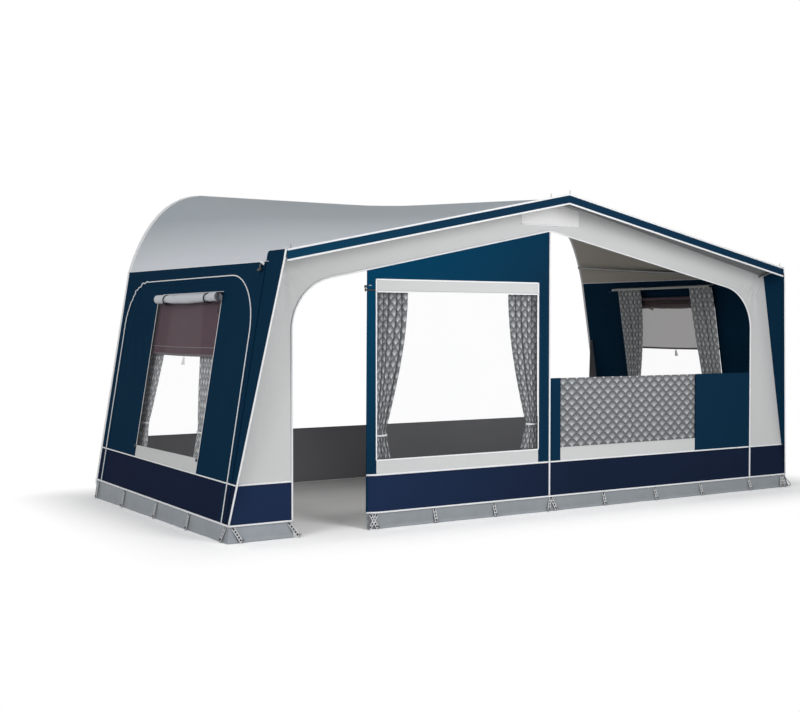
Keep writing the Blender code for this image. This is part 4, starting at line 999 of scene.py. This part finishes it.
def gable():
    """The light front frame from one leg panel over the gable to the other, as one cloth."""
    drop = (FABRIC + GAP) * 1.03
    opening = [(-LEG_PANEL_X, BASE_Z)] + arch_path(-1)[::-1] + [(0, band_z(0))]
    opening += arch_path(1) + [(LEG_PANEL_X, BASE_Z)]
    low_x = wall_x(FABRIC, BASE_Z, FABRIC + 2 * GAP)
    top_x = wall_x(0, EAVE_FRONT_Z - 0.01, FABRIC + 2 * GAP)
    half = [(low_x, BASE_Z), (top_x, EAVE_FRONT_Z - 0.012)]
    half.append((top_x - 0.02, roof_front_z(top_x - 0.02) - drop))
    outer = half + [(0, RIDGE_FRONT_Z - drop)] + [(-x, z) for x, z in reversed(half)]
    pulls = [(side * 2.2, 1.8, 0.45, 17, 0.005) for side in (-1, 1)]
    pulls += [(side * 2.3, 0.4, 0.3, 13, 0.002) for side in (-1, 1)]
    cloth("gable_cloth", "awning", ["front_frame_left", "front_frame_right"], [opening + outer],
          on_front, ["band", ("navy_front", (-3, 3), (0, NAVY_Z))], 41,
          loose=0.004, pulls=pulls, step=0.04,
          held_lines=[[(-2.6, NAVY_Z), (-2.1, NAVY_Z)], [(2.1, NAVY_Z), (2.6, NAVY_Z)]],
          thickness=THIN)
    feet = [[(side * LEG_PANEL_X, NAVY_Z), (side * 2.55, NAVY_Z)] for side in (-1, 1)]
    piping("gable_piping", on_front, [opening, *feet], step=0.03)
    apex_patch()


def apex_patch():
    """The plain light patch sewn on under the gable's peak."""
    low, left, right = 2.148, -0.27, 0.275
    margin = 0.022
    outline = [(left, low), (right, low)]
    outline += [(x, roof_front_z(x) - margin) for x in (right, 0, left)]
    cloth("apex_patch", "awning", [], [outline], on_front, ["patch"], 47,
          loose=0.001, lift=-0.005, step=0.03, thickness=0.001)
    trim("apex_patch_hem", [surface_line(on_front, outline[:2], -0.007)], 0.005)


def middle_bay():
    """The closed panel beside the doorway with its window, trim and clip."""
    body, out = "middle_bay", (0, -1, 0)
    left, right = -MIDDLE_X, -GAP / 2
    low, high = FRONT_WINDOW_Z
    outline = [(right, BASE_Z), (right, band_z(0)), (left, band_z(left)), (left, BASE_Z)]
    span = (-MIDDLE_WINDOW_X[1], -MIDDLE_WINDOW_X[0])
    window = rectangle(span, FRONT_WINDOW_Z)
    zones = [("navy_front", (-3, 3), (0, NAVY_Z)), ("strip", span, (NAVY_Z, low)),
             ("strip", span, (high, high + STRIP_TOP))]
    cloth("middle_panel_cloth", body, ["middle_panel"], [outline, window], on_middle,
          ["petrol_front"] + zones, 53, thickness=THIN,
          held_lines=[[(left, NAVY_Z), (right, NAVY_Z)]],
          pulls=[(left, 1.8, 0.35, 13, 0.003), (right, 2.1, 0.4, 15, 0.0025)])
    cloth("middle_foil", body, ["middle_window"], [window], on_front, ["foil"], 59,
          loose=0.005, lift=0.0012)
    edge = [(right - 0.004, BASE_Z), (right - 0.004, band_z(0))]
    navy = [(left, NAVY_Z), (span[0], NAVY_Z), (right, NAVY_Z)]
    piping("middle_piping", on_middle, [edge, navy], HOOD_PIPING, body=body)
    welds = [[(x, low), (x, high + STRIP_TOP)] for x in span]
    welds += [[(span[0], z), (span[1], z)] for z in (low, high, high + STRIP_TOP - 0.004)]
    tapes("middle_window_welds", on_front, welds, out, 0.009, body=body)
    hem_x = left + 0.012
    tapes("middle_side_hem", on_middle, [[(hem_x, BASE_Z + 0.01), (hem_x, band_z(left) - 0.01)]],
          out, 0.022, 0.001, -0.0008, "petrol_front", body)
    start = on_middle(left + 0.058, 1.64, -0.003)
    tip = on_middle(left, 1.64, -0.005) + Vector((-0.012, 0.003, 0.001))
    clips = sweep(bmesh.new(), [start, tip], flat_section(0.01, 0.005), up=out)
    sweep(clips, [tip + Vector((0, 0, z)) for z in (-0.011, 0.012)], ring(0.0055, 10))
    piece("middle_clips", clips, ["dark"], body)


def right_panel():
    """The standing half with its window, and the upper half in two folds behind it."""
    left, right = GAP / 2, LEG_PANEL_X
    low, high = RIGHT_WINDOW_X
    sill_z = FRONT_WINDOW_Z[0]
    outline = [(left, BASE_Z), (right, BASE_Z), (right, FOLD_Z), (high, FOLD_Z), (high, sill_z)]
    outline += [(low, sill_z), (low, FOLD_Z), (left, FOLD_Z)]
    navy = [(left, NAVY_Z), (right, NAVY_Z)]
    zones = [("navy_front", (-3, 3), (0, NAVY_Z)), ("strip", RIGHT_WINDOW_X, (NAVY_Z, sill_z))]
    cloth("right_panel_cloth", "awning", ["right_panel_lower"], [outline], on_front,
          ["petrol_front"] + zones, 61, loose=0.0025, thickness=THIN,
          held_lines=[navy], pulls=[(right, 1.0, 0.3, 11, 0.002)])
    cloth("right_foil", "awning", ["right_window"], [rectangle(RIGHT_WINDOW_X, (sill_z, FOLD_Z))],
          on_front, ["foil"], 67, loose=0.0012)
    piping("right_piping", on_front, [navy])
    tapes("right_window_weld", on_front, [[(low, sill_z), (high, sill_z)]], (0, -1, 0), 0.008,
          key="strip")
    lips = [[(left, FOLD_Z), (low, FOLD_Z)], [(high, FOLD_Z), (right - 0.002, FOLD_Z)]]
    tapes("right_fold_lip", on_front, lips, (0, 0, 1), 0.006, 0.002, 0.0015, "petrol_front")
    drawn_curtain()
    folded_panes()


def drawn_curtain():
    """The drawn curtain behind the right-hand window, in two lengths that meet."""
    low, high = RIGHT_WINDOW_X[0] - 0.02, RIGHT_WINDOW_X[1] + 0.02
    seam = 0.83

    def cell(rise, share):
        z = lerp(FRONT_WINDOW_Z[0], FOLD_Z, rise)
        x = lerp(low, high, share)
        wave = math.sin(x * 38 + 0.8 * math.sin(z * 5)) * 0.0016
        wave += 0.0016 * ripple(x * 9, z * 2.2, 71)
        pinch = math.exp(-(((x - seam) / 0.012) ** 2))
        point = Vector((x, 0.0088 + wave - 0.002 * pinch + ROOT_Y, z))
        # painted shade: a dark line in the crease where the two lengths meet
        fold = 0.35 * math.exp(-(((x - seam - 0.008) / 0.006) ** 2))
        return point, (x * 1.02 + (0.011 if x > seam else 0), z), fold

    obj = piece("right_curtain_cloth", printed_grid(grid(26, 220, cell)), ["print"],
                nodes=["right_curtain"])
    declare(obj, 1.5, 0.53, area=1.5 * 0.53)


def folded_panes():
    """Two panes of cloth that hang folded inside over the veranda rail."""
    for part, seed in (("lower", 73), ("upper", 79)):
        node = f"right_fold_{part}"
        low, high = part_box(node)
        middle_y = (low.y + high.y) / 2
        outline = [(low.x, low.z), (high.x, low.z)]
        if part == "lower":
            outline += [(high.x, high.z - 0.012), (low.x, high.z - 0.002)]
        else:
            span = band_z(low.x) - 0.985
            for x_share, z_share in ((1.0, 0.955), (0.961, 0.992), (0.898, 1.005), (0.767, 1.0)):
                x = high.x * x_share
                z = low.z + band_z(x) * z_share - (0.985 + span / 2) + 0.01
                outline.append((x, z))
            outline.append((low.x, high.z))
        cloth(f"fold_pane_{part}", f"fold_{part}", [node], [outline],
              lambda x, z, inset, y=middle_y: Vector((x, y + inset, z)), ["petrol"], seed,
              loose=0.0011, step=0.06)


# Side walls


def side_arch(clear):
    low, high = ARCH_Y[0] + clear, ARCH_Y[1] - clear
    top, base = ARCH_TOP_Z - clear, BASE_Z + clear
    points = fillet((low, base), (low, top), (high, top), ARCH_FRONT_RADIUS - clear)
    points += fillet((low, top), (high, top), (high, base), ARCH_RADIUS - clear)
    return [(low, base), *points, (high, base)]


def side_wall(side_name):
    side = SIDES[side_name]
    bay = f"side_bay_{side_name}"
    place = on_wall(side)
    out = place(1, 1, -1) - place(1, 1, 0)
    arch = side_arch(0)
    seam_eave_z = lerp(EAVE_FRONT_Z, EAVE_REAR_Z, SEAM_TOP_Y / DEPTH)
    outline = [(SEAM_BASE_Y + GAP, BASE_Z), (SEAM_TOP_Y + GAP, seam_eave_z)]
    outline += [(DEPTH, EAVE_REAR_Z), (DEPTH, BASE_Z)] + arch[::-1]
    navy = ("navy", (-1, 3), (0, NAVY_Z))
    cloth(f"side_frame_cloth_{side_name}", "awning", [f"side_frame_{side_name}"], [outline],
          place, ["petrol", navy], 83 + side, loose=0.004,
          pulls=[(0.05, 1.8, 0.4, 19, 0.004), (2.45, 1.82, 0.4, 17, 0.005),
                 (2.45, 0.15, 0.3, 13, 0.003)], thickness=THIN)
    window = rectangle(SIDE_WINDOW_Y, SIDE_WINDOW_Z)
    cloth(f"side_panel_cloth_{side_name}", bay, [f"side_panel_{side_name}"],
          [side_arch(GAP), window], place,
          ["petrol", navy, ("strip", SIDE_WINDOW_Y, (NAVY_Z, SIDE_WINDOW_Z[0]))], 89 + side,
          loose=0.0035, thickness=THIN,
          pulls=[(0.3, 1.65, 0.4, 15, 0.003), (2.2, 1.65, 0.5, 19, 0.0055),
                 (0.2, 0.15, 0.3, 11, 0.002)], held_lines=[[(0, NAVY_Z), (DEPTH, NAVY_Z)]])
    cloth(f"side_foil_{side_name}", bay, [f"side_window_{side_name}"], [window], place,
          ["foil_side"], 97 + side, loose=0.004, lift=0.0012)
    side_trim(side_name, bay, place, out, arch)
    storm_blind(side_name, bay, place)
    roller_blind(side_name, bay, place, out)
    for number, name in enumerate((f"{side_name}_front", f"{side_name}_rear")):
        curtain(f"curtain_{name}", f"curtain_bundle_{name}", SIDE_CURTAIN_TOP_Z, place,
                101 + side + 4 * number, -side, "print_side")


def side_trim(side_name, bay, place, out, arch):
    """White piping round the arch and along the base, zip tape and window welds."""
    front, rear = ARCH_Y
    fixed = [[(SEAM_BASE_Y, NAVY_Z), (front, NAVY_Z)], [(rear, NAVY_Z), (DEPTH, NAVY_Z)]]
    piping(f"side_piping_{side_name}", place, fixed, SIDE_PIPING)
    back = [(DEPTH - 0.007, BASE_Z), (DEPTH - 0.007, EAVE_REAR_Z - 0.004)]
    tapes(f"wall_rear_tape_{side_name}", place, [back], out, 0.012)
    wavy = []
    for i, (y, z) in enumerate(finer(arch, 0.012)):
        pucker = 0.022 if y > 2.0 and z > 1.35 else 0.0015
        shift = pucker * ripple(i * 0.22, 5, SIDES[side_name])
        wavy.append(place(y + shift, z + shift * 0.7, PIPING_SUNK - ARCH_PIPING))
    trim(f"arch_piping_{side_name}", [wavy], ARCH_PIPING)
    piping(f"side_panel_piping_{side_name}", place, [[(front, NAVY_Z), (rear, NAVY_Z)]],
           SIDE_PIPING, body=bay)
    tapes(f"zip_cover_{side_name}", place, [side_arch(0.022)], out, 0.026, 0.0016, -0.001,
          "petrol", bay, 0.03)
    welds = [[(y, z) for z in SIDE_WINDOW_Z] for y in SIDE_WINDOW_Y]
    tapes(f"side_window_welds_{side_name}", place, welds, out, 0.006, body=bay)
    studs = bmesh.new()
    for y, z in ((0.66, 1.5), (1.77, 0.475), (0.64, 0.47)):
        sweep(studs, [place(y, z, -0.001), place(y, z, -0.005)], ring(0.012, 14))
        sweep(studs, [place(y, z, -0.005), place(y, z, -0.008)], ring(0.007, 12))
    piece(f"side_studs_{side_name}", studs, ["dark"], bay)


def storm_blind(side_name, bay, place):
    """The outer cover, rolled up over the window: a rolled sheet in two straps."""
    start, end = STORM_Y
    top_z = SIDE_WINDOW_Z[1]
    centre_z, centre_out = top_z - 0.01, -0.0373
    turns, steps, stations = 3.2, 88, 60
    rows = []
    for i in range(stations + 1):
        y = lerp(start, end, i / stations)
        pinches = [math.exp(-(((i / stations - s) / 0.022) ** 2)) for s in STORM_STRAP_SHARES]
        squeeze = 1.0 - 0.2 * pinches[0] - 0.2 * pinches[1]
        body = 1 + 0.1 * ripple(y * 3.1, 2.0, 113)
        sag = 0.007 * math.sin(math.pi * i / stations) + 0.003 * ripple(y * 5, 7, 3)
        row = []
        for j in range(steps + 1):
            t = j / steps
            angle = math.pi * 0.5 + 2 * math.pi * turns * (1 - t)
            radius = lerp(0.0335, 0.008, 1 - t) * squeeze * body
            radius += 0.0026 * ripple(y * 9, angle * 0.6, 113)
            inset = centre_out + radius * math.cos(angle)
            row.append(place(y, centre_z + radius * math.sin(angle) - sag, inset))
        header = [place(y, top_z + 0.03, -0.0042), place(y, top_z + 0.035, -0.0015)]
        rows.append(row + header)
    obj = piece(f"storm_roll_{side_name}", add_grid(bmesh.new(), rows), ["storm"], bay,
                [f"storm_blind_{side_name}"])
    declare(obj, end - start, mesh_area(obj) / (end - start))
    thicken(obj, 0.0008)
    straps = bmesh.new()
    reach, sag = 0.0315, 0.005
    for share in STORM_STRAP_SHARES:
        y = lerp(start, end, share)
        loop = []
        for k in range(33):
            angle = math.pi * (0.3 + 1.62 * k / 32)
            out_at = centre_out - reach * math.cos(angle - math.pi)
            z = centre_z + reach * math.sin(angle) - sag
            loop.append(place(y + 0.02 * (k / 32 - 0.5), z, out_at))
        sweep(straps, loop, flat_section(0.013, 0.0022))
        knot = place(y, centre_z - 0.036, centre_out - 0.008)
        sweep(straps, [knot, knot + Vector((0, 0, -0.018))], ring(0.0045, 8))
    piece(f"storm_straps_{side_name}", straps, ["dark"], bay)


def roller_blind(side_name, bay, place, out):
    """The inside blind half drawn down, with its bar, roll, end caps and pull tab."""
    body = f"blind_{side_name}"
    start, end = BLIND_Y[side_name]
    low, top = BLIND_Z
    bar_z = low + 0.012

    def cell(drop, share):
        y, z = lerp(start, end, share), lerp(top, bar_z, drop)
        bow = 0.006 * math.sin(math.pi * share) * drop
        return place(y, z - bow, BLIND_INSET + 0.0015 * ripple(y * 5, z * 3, 127))

    rows = grid(24, 40, cell)
    sheet = piece(f"blind_cloth_{side_name}", add_grid(bmesh.new(), rows), [body], None,
                  [f"roller_blind_{side_name}"])
    declare(sheet, end - start, top - low)
    drawn = [place((start + end) / 2, z, BLIND_INSET) for z in (top, bar_z)]
    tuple(drawn[0])
    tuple(drawn[1])
    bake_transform(sheet)
    if side_name == "left":
        line = [point + out * 0.0016 for point in rows[-4]]
        pocket = sweep(bmesh.new(), line, flat_section(0.007, 0.001), up=out)
        seam = piece(f"blind_pocket_{side_name}", pocket, ["blind_seam"], None)
        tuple(drawn[0])
        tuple(drawn[1])
        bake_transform(seam)
    bar = sweep(bmesh.new(), rows[-1], flat_section(0.006, 0.016), up=(0, 0, 1))
    piece(f"blind_bar_{side_name}", bar, ["blind_bar"], body)
    y, half = 1.17, BLIND_TAB_HALF[side_name]
    cord = [place(y, low + 0.006, BLIND_INSET), place(y, low - 0.012, BLIND_INSET)]
    tab = sweep(bmesh.new(), cord, ring(0.002, 8))
    lines = []
    for width, drop in ((0.007, 0.008), (0.012, 0.022), (half, 0.058), (half - 0.001, 0.064)):
        corners = ((-1, -0.002), (1, -0.002), (1, 0.002), (-1, 0.002))
        lines.append([place(y + a * width, low - drop, BLIND_INSET + b) for a, b in corners])
    add_grid(tab, [line + line[:1] for line in lines])
    for line in (lines[0][::-1], lines[-1]):
        tab.faces.new([tab.verts.new(point) for point in line])
    bmesh.ops.remove_doubles(tab, verts=tab.verts, dist=0.00005)
    piece(f"blind_tab_{side_name}", tab, ["white"], body, smooth=False)

    def wound(share, around):
        angle, radius = 2 * math.pi * 2.5 * around, lerp(0.011, 0.0165, around)
        return place(lerp(start, end, share), BLIND_ROLL_Z + radius * math.sin(angle),
                     BLIND_INSET + radius * math.cos(angle))

    piece(f"blind_roll_{side_name}", add_grid(bmesh.new(), grid(8, 60, wound)), ["blind_roll"],
          bay, [f"blind_roller_{side_name}"])
    ends = bmesh.new()
    for y, step in ((start - 0.008, 0.006), (end + 0.008, -0.006)):
        sweep(ends, [place(at, BLIND_ROLL_Z, BLIND_INSET) for at in (y, y + step)],
              ring(0.0195, 20))
    piece(f"blind_ends_{side_name}", ends, ["dark"], bay, slot="trim_white")


# Curtains


def curtain_width(z, top_z, widths):
    """Full at the track, drawn in at the tie and a little wider at the hem."""
    top_width, tie_width, low_width = widths
    if z < CURTAIN_TIE_Z:
        below = (CURTAIN_TIE_Z - z) / (CURTAIN_TIE_Z - CURTAIN_LOW_Z)
        return lerp(tie_width, low_width, below)
    share = (z - CURTAIN_TIE_Z) / (top_z - CURTAIN_TIE_Z)
    return lerp(tie_width, top_width, math.sin(share * math.pi / 2))


def curtain(name, body, top_z, place, seed, facing, key="print_gathered"):
    """A gathered curtain, tied back: round folds with narrow valleys that crowd at the tie;
    painted shade darkens the valleys, the folds' slopes, streaks along them and the cloth at the
    tie.
    """
    start, toward, tie_z, widths = CURTAINS[name]
    folds = round(widths[0] / FOLD_WIDTH)

    def cell(rise, share):
        z = lerp(CURTAIN_LOW_Z, top_z, rise)
        span = curtain_width(z, top_z, widths)
        tight = math.exp(-(((z - tie_z) / 0.06) ** 2))
        head = min(1.0, (top_z - z) / 0.05)
        edge = min(1.0, 12 * min(share, 1 - share))
        drift = (0.6 / folds) * ripple(share * folds * 0.6, z * 1.3, seed) * edge
        turn = folds * (share + drift) % 1.0
        crest = math.sqrt(max(0.0, 1 - (2 * turn - 1) ** 2))
        size = 0.85 + 0.3 * ripple(share * folds * 0.5, z * 1.6, seed + 5)
        reach = CURTAIN_WAVE * size * (0.55 + 0.45 * head) * (1 - 0.2 * tight)
        crease = 0.0022 * ripple(share * folds * 5, z * 12, seed)
        depth = TRACK_REACH + facing * reach * (1.5 * crest - 0.95) * -1 + crease
        # painted shade: darker in the valleys, on the folds' slopes, in streaks along them and at
        # the tie, kept as the mesh's fold number
        valley_shade = math.exp(-((min(turn, 1 - turn) / 0.12) ** 2))
        strength = 0.8 + 0.5 * ripple(round(folds * (share + drift)) * 1.7, z * 1.3, seed + 11)
        streak_shade = 0.25 * max(0.0, ripple(share * folds * 2.6, z * 2.1, seed + 17))
        dark = valley_shade * strength * edge + 0.16 * (1 - crest) + streak_shade + 0.2 * tight
        point = place(start + toward * span * share, z, depth)
        return point, (share * widths[0] * FULLNESS, z), min(max(dark, 0.0), 0.93)

    obj = piece(f"{name}_cloth", printed_grid(grid(64, folds * 18, cell)), [key], body, [name])
    declare(obj, widths[0] * FULLNESS, top_z - CURTAIN_LOW_Z)
    loop = []
    half = curtain_width(tie_z, top_z, widths) / 2
    for k in range(36):
        angle = 2 * math.pi * k / 36
        at = start + toward * (half + (half + 0.003) * math.cos(angle))
        loop.append(place(at, tie_z + 0.004 * math.sin(angle),
                          TRACK_REACH + 0.0175 * math.sin(angle)))
    band = sweep(bmesh.new(), loop, flat_section(0.0025, 0.013), up=(0, 0, 1), closed=True)
    piece(f"{name}_tie", band, ["white"], body)
    hooks = bmesh.new()
    for k in range(folds + 1):
        at = start + toward * widths[0] * (k + 0.4) / (folds + 1)
        hook = [place(at, top_z - 0.016, TRACK_REACH + 0.006),
                place(at, top_z + 0.004, TRACK_REACH + 0.007)]
        sweep(hooks, hook, flat_section(0.005, 0.003), up=(0, 0.3, 1))
    piece(f"{name}_hooks", hooks, ["track"], body)


def middle_curtains():
    for side_name, seed in (("right", 131), ("left", 137)):
        name = f"middle_curtain_{side_name}"
        curtain(name, f"{name}_bundle", MIDDLE_CURTAIN_TOP_Z,
                lambda x, z, inset: Vector((-x, inset + ROOT_Y, z)), seed,
                1)


# Ground edge


def flap_strip(name, nodes, start, end, out, pegs, seed, corners, key="flap"):
    """A mud flap: flared outwards, a little wavy between the pegs, with a hem along its foot."""
    length = (end - start).length
    run = (end - start) / length
    pegs = list(pegs) + [length * end for end in (0, 1) if corners[end]]
    columns = max(8, round(length / 0.025))
    rows = []
    for drop in (0, 0.125, 0.25, 0.375, 0.5, 0.625, 0.75, 0.86, 0.875, 1):
        row = []
        for j in range(columns + 1):
            at = length * j / columns
            near = min([abs(at - peg) for peg in pegs] + [0.3])
            free = min(1.0, near / 0.12)
            wave = 0.008 * ripple(at * 5, drop, seed) + 0.003 * ripple(at * 17, drop * 2, seed)
            point = start.lerp(end, j / columns)
            point.y += edge_turn(point.x, point.z)
            hem = 0.0012 if drop > 0.87 else 0.0
            point.z = lerp(point.z - 0.001, 0.0012, drop)
            mitre = corners[1] * max(0, 1 - (length - at) / 0.1)
            mitre -= corners[0] * max(0, 1 - at / 0.1)
            point += run * (FLARE * drop * mitre)
            row.append(point + out * (FLARE * drop + wave * free * drop + hem))
        rows.append(row)
    bm = add_grid(bmesh.new(), rows[:8])
    add_grid(bm, rows[7:], index=1)
    bmesh.ops.remove_doubles(bm, verts=bm.verts, dist=0.00005)
    bmesh.ops.recalc_face_normals(bm, faces=bm.faces)
    obj = piece(name, bm, [key, "flap_hem"], nodes=nodes)
    declare(obj, length, 0.113)
    thicken(obj, THIN)


def peg_set(ladders, pegs, foot, out, strands):
    """Rubber ladders down the flap, as (shift at the top, at the foot), each over a dark strip of
    painted shadow, and hooked pegs.
    """
    top_z = foot.z
    foot = Vector((foot.x, foot.y, 0))
    across = Vector((-out.y, out.x, 0))
    for top_shift, low_shift in strands:
        top = foot + out * 0.0075 + across * top_shift + Vector((0, 0, top_z - 0.01))
        low = foot + out * 0.034 + across * low_shift + Vector((0, 0, 0.012))
        aside = (low - top).normalized().cross(out).normalized()
        for shift in (-0.009, 0.009):
            sweep(ladders, [top + aside * shift, low + aside * shift],
                  flat_section(0.005, 0.003), out)
        # painted shadow: a dark strip behind the ladder that shows through its holes
        sweep(ladders, [top - out * 0.0022, low - out * 0.0022], flat_section(0.02, 0.0012), out,
              index=1)
        rungs = max(4, round((low - top).length / 0.022))
        for k in range(rungs + 1):
            at = top.lerp(low, k / rungs)
            sweep(ladders, [at - aside * 0.0105, at + aside * 0.0105],
                  flat_section(0.0062, 0.0034), out)
        stand = low + out * 0.001 + across * (0.1 * (low_shift - top_shift))
        stand.z = 0
        hook = ((0, 0.0), (0, 0.018), (0.002, 0.024), (0.007, 0.0265), (0.012, 0.025),
                (0.0145, 0.02), (0.015, 0.013))
        route = [stand + out * a * 0.6 + across * a * 0.5 + Vector((0, 0, z)) for a, z in hook]
        sweep(pegs, route, ring(0.0026, 8))
        sweep(pegs, [top, top + out * 0.004], ring(0.0085, 12))


def ground_edge():
    """The mud flaps with their ladders and pegs, and the piping along the base."""
    ladders, pegs = bmesh.new(), bmesh.new()
    out = Vector((0, -1, 0))
    for name, nodes, ends, span, marks, seed, corners, key in (
        ("front", ["mud_flap_front"], (-MIDDLE_X, HALF_FRONT),
         (0.05 - MIDDLE_X, HALF_FRONT - 0.05), FRONT_PEGS, 139, (0, 1), "flap_front"),
        ("doorway", [], (-HALF_FRONT, -LEG_PANEL_X), (-LEG_PANEL_X, 0.05 - HALF_FRONT),
         DOORWAY_PEGS, 149, (1, 0), "flap"),
    ):
        start, end = [Vector((x, ROOT_Y, BASE_Z)) for x in ends]
        places = [Vector((lerp(*span, share), ROOT_Y, BASE_Z)) for share, _ in marks]
        flap_strip(f"mud_flap_cloth_{name}", nodes, start, end, out,
                   [place.x - ends[0] for place in places], seed, corners, key)
        for place, (_, strands) in zip(places, marks):
            peg_set(ladders, pegs, place, out, strands)
    base_lines = []
    sunk = PIPING_SUNK - HOOD_PIPING
    for side_name, side in SIDES.items():
        out = Vector((side, 0, 0))
        flap_strip(f"mud_flap_cloth_{side_name}", [f"mud_flap_{side_name}"],
                   wall_point(side, 0, BASE_Z), wall_point(side, DEPTH, BASE_Z), out,
                   [DEPTH * share for share, _ in SIDE_PEGS], 151 + side, (1, 0))
        for share, strands in SIDE_PEGS:
            peg_set(ladders, pegs, wall_point(side, DEPTH * share, BASE_Z), out,
                    [(-side * a, -side * b) for a, b in strands])
        inner_x = -LEG_PANEL_X if side < 0 else -MIDDLE_X
        crease = [(inner_x + EDGE_TURN[0], BASE_Z)] if side > 0 else []
        path = [(inner_x, BASE_Z), *crease, (side * (HALF_FRONT - 0.004), BASE_Z)]
        line = surface_line(on_middle, path, sunk)
        line += surface_line(on_wall(side), [(0.004, BASE_Z), (DEPTH, BASE_Z)], sunk)
        base_lines.append(line)
    trim("base_piping", base_lines, HOOD_PIPING)
    corner = Vector((HALF_FRONT - 0.01, ROOT_Y - 0.006, 0.085))
    bends = ((0, 0, 0), (0.06, -0.012, -0.058), (0.056, -0.02, -0.072), (0.03, -0.03, -0.078),
             (0.018, -0.022, -0.068))
    sweep(pegs, [corner + Vector(bend) for bend in bends], ring(0.0028, 8), closed=True)
    piece("rubber_ladders", ladders, ["rubber", "ladder_painted_shadow"], smooth=False)
    piece("ground_pegs", pegs, ["steel"])


def skirt():
    """The dark skirt against the caravan, in soft upright folds, with a gusset up each wall."""
    y, top_z, gusset_z = SKIRT_Y, 0.48, 1.25
    low_x = wall_x(y, BASE_Z, FABRIC + GAP)
    high_x = wall_x(y, gusset_z, FABRIC + GAP)
    half = [(low_x, 0.001), (low_x, BASE_Z), (high_x, gusset_z), (high_x - 0.03, gusset_z)]
    half.append((wall_x(y, top_z, FABRIC + GAP) - 0.18, top_z))

    def place(x, z, inset):
        fold = 0.003 * math.sin(x * 21) * (0.5 - z)
        return Vector((x, y + inset * 0.7 + ROOT_Y + fold, z))

    cloth("skirt_cloth", "awning", ["draught_skirt"],
          [half + [(-x, z) for x, z in reversed(half)]], place, ["skirt"], 157,
          loose=0.006,
          step=0.045)
    hem_x = wall_x(y, top_z) - 0.2
    hem = surface_line(place, [(-hem_x, top_z), (hem_x, top_z)], -0.002, 0.04)
    trim("skirt_hem", [hem], 0.004, "skirt")


# Carried-over metal and plastic


def carried_over():
    starts = {"steel": ("leg_", "roof_pole", "gable_pole", "veranda_rail"),
              "dark": ("clamp_knob", "apex_bracket"),
              "track": ("curtain_track", "middle_curtain_track"), "white": ("rail_bead",)}
    for name, node in frame["nodes"].items():
        for key, beginnings in starts.items():
            if name.startswith(beginnings):
                for slot in node.material_slots:
                    slot.material = MATERIALS[key]


# Stage, light and camera


def stage():
    """A wide pale floor that keeps the shadow, with painted shade under the awning that darkens
    towards the rear, and passes into a white background.
    """
    material = bpy.data.materials.new("floor")
    material.use_nodes = True
    tree = material.node_tree
    tree.nodes.clear()
    seen = seen_ray(tree)
    x, y, _ = object_axes(tree)
    beyond_x = (x.apply("ABSOLUTE") - CAD_BOX[1][0]).apply("MAXIMUM", 0.0)
    beyond_y = (y.apply("ABSOLUTE") - CAD_BOX[1][1]).apply("MAXIMUM", 0.0)
    away = (beyond_x * beyond_x + beyond_y * beyond_y).apply("SQRT").between(*FLOOR_BLEND)
    back = y - ROOT_Y
    inside = (x.apply("ABSOLUTE") - back * TAPER).apply("LESS_THAN", HALF_FRONT)
    under = inside * back.apply("LESS_THAN", SKIRT_Y)
    # painted shade: under the awning, the floor is painted darker from 0.8 m to 2 m behind the
    # front
    painted_shade = back.between(*FLOOR_SHADE_Y) * under * (FLOOR_SEEN - FLOOR_SHADE)
    level = seen * (painted_shade * -1 + (FLOOR_SEEN - FLOOR_LIT)) + FLOOR_LIT
    matt = tree.nodes.new("ShaderNodeBsdfDiffuse")
    glow = tree.nodes.new("ShaderNodeEmission")
    blend = tree.nodes.new("ShaderNodeMixShader")
    output = tree.nodes.new("ShaderNodeOutputMaterial")
    tree.links.new(level.socket, matt.inputs["Color"])
    tree.links.new((away * seen).socket, blend.inputs[0])
    tree.links.new(matt.outputs[0], blend.inputs[1])
    tree.links.new(glow.outputs[0], blend.inputs[2])
    tree.links.new(blend.outputs[0], output.inputs["Surface"])
    steps = (-60, -20, 0, 20, 60)
    bm = add_grid(bmesh.new(), [[Vector((x, y, -0.0005)) for x in steps] for y in steps])
    mesh = bpy.data.meshes.new("floor")
    bm.to_mesh(mesh)
    bm.free()
    mesh.materials.append(material)
    link("floor", mesh)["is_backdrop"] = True


def world():
    made = bpy.data.worlds.new("studio")
    bpy.context.scene.world = made
    made.use_nodes = True
    back = made.node_tree.nodes["Background"]
    back.inputs["Color"].default_value = (1, 1, 1, 1)
    strength = seen_ray(made.node_tree) * (1 - SKY) + SKY
    made.node_tree.links.new(strength.socket, back.inputs["Strength"])


def area_light(name, place, power, size):
    """A round lamp that faces the awning's middle."""
    data = bpy.data.lights.new(name, "AREA")
    data.energy = power
    data.shape = "DISK"
    data.size = size
    made = link(name, data)
    made.location = place
    made.rotation_mode = "QUATERNION"
    made.rotation_quaternion = (Vector((0, 0, 1.0)) - Vector(place)).to_track_quat("-Z", "Y")
    made.visible_camera = False


def camera():
    data = bpy.data.cameras.new("camera")
    data.lens = 53.1
    data.sensor_width = 36
    data.clip_end = 300
    made = link("camera", data)
    made.location = (-5.5877, -8.1314, 1.394)
    made.rotation_euler = (math.radians(88.545), 0, math.radians(-31.4))
    bpy.context.scene.camera = made


camera()
bpy.context.scene.view_settings.view_transform = "Standard"
world()
stage()
area_light("key", (-0.1, -5.7, 2.6), 122, 2.8)
area_light("fill", (-9.0, -4.0, 4.5), 200, 4)
carried_over()
roof()
hood()
wings()
gable()
middle_bay()
middle_curtains()
right_panel()
for each_side in SIDES:
    side_wall(each_side)
ground_edge()
skirt()
[[list(corner) for corner in box] for box in (CAD_BOX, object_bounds())]
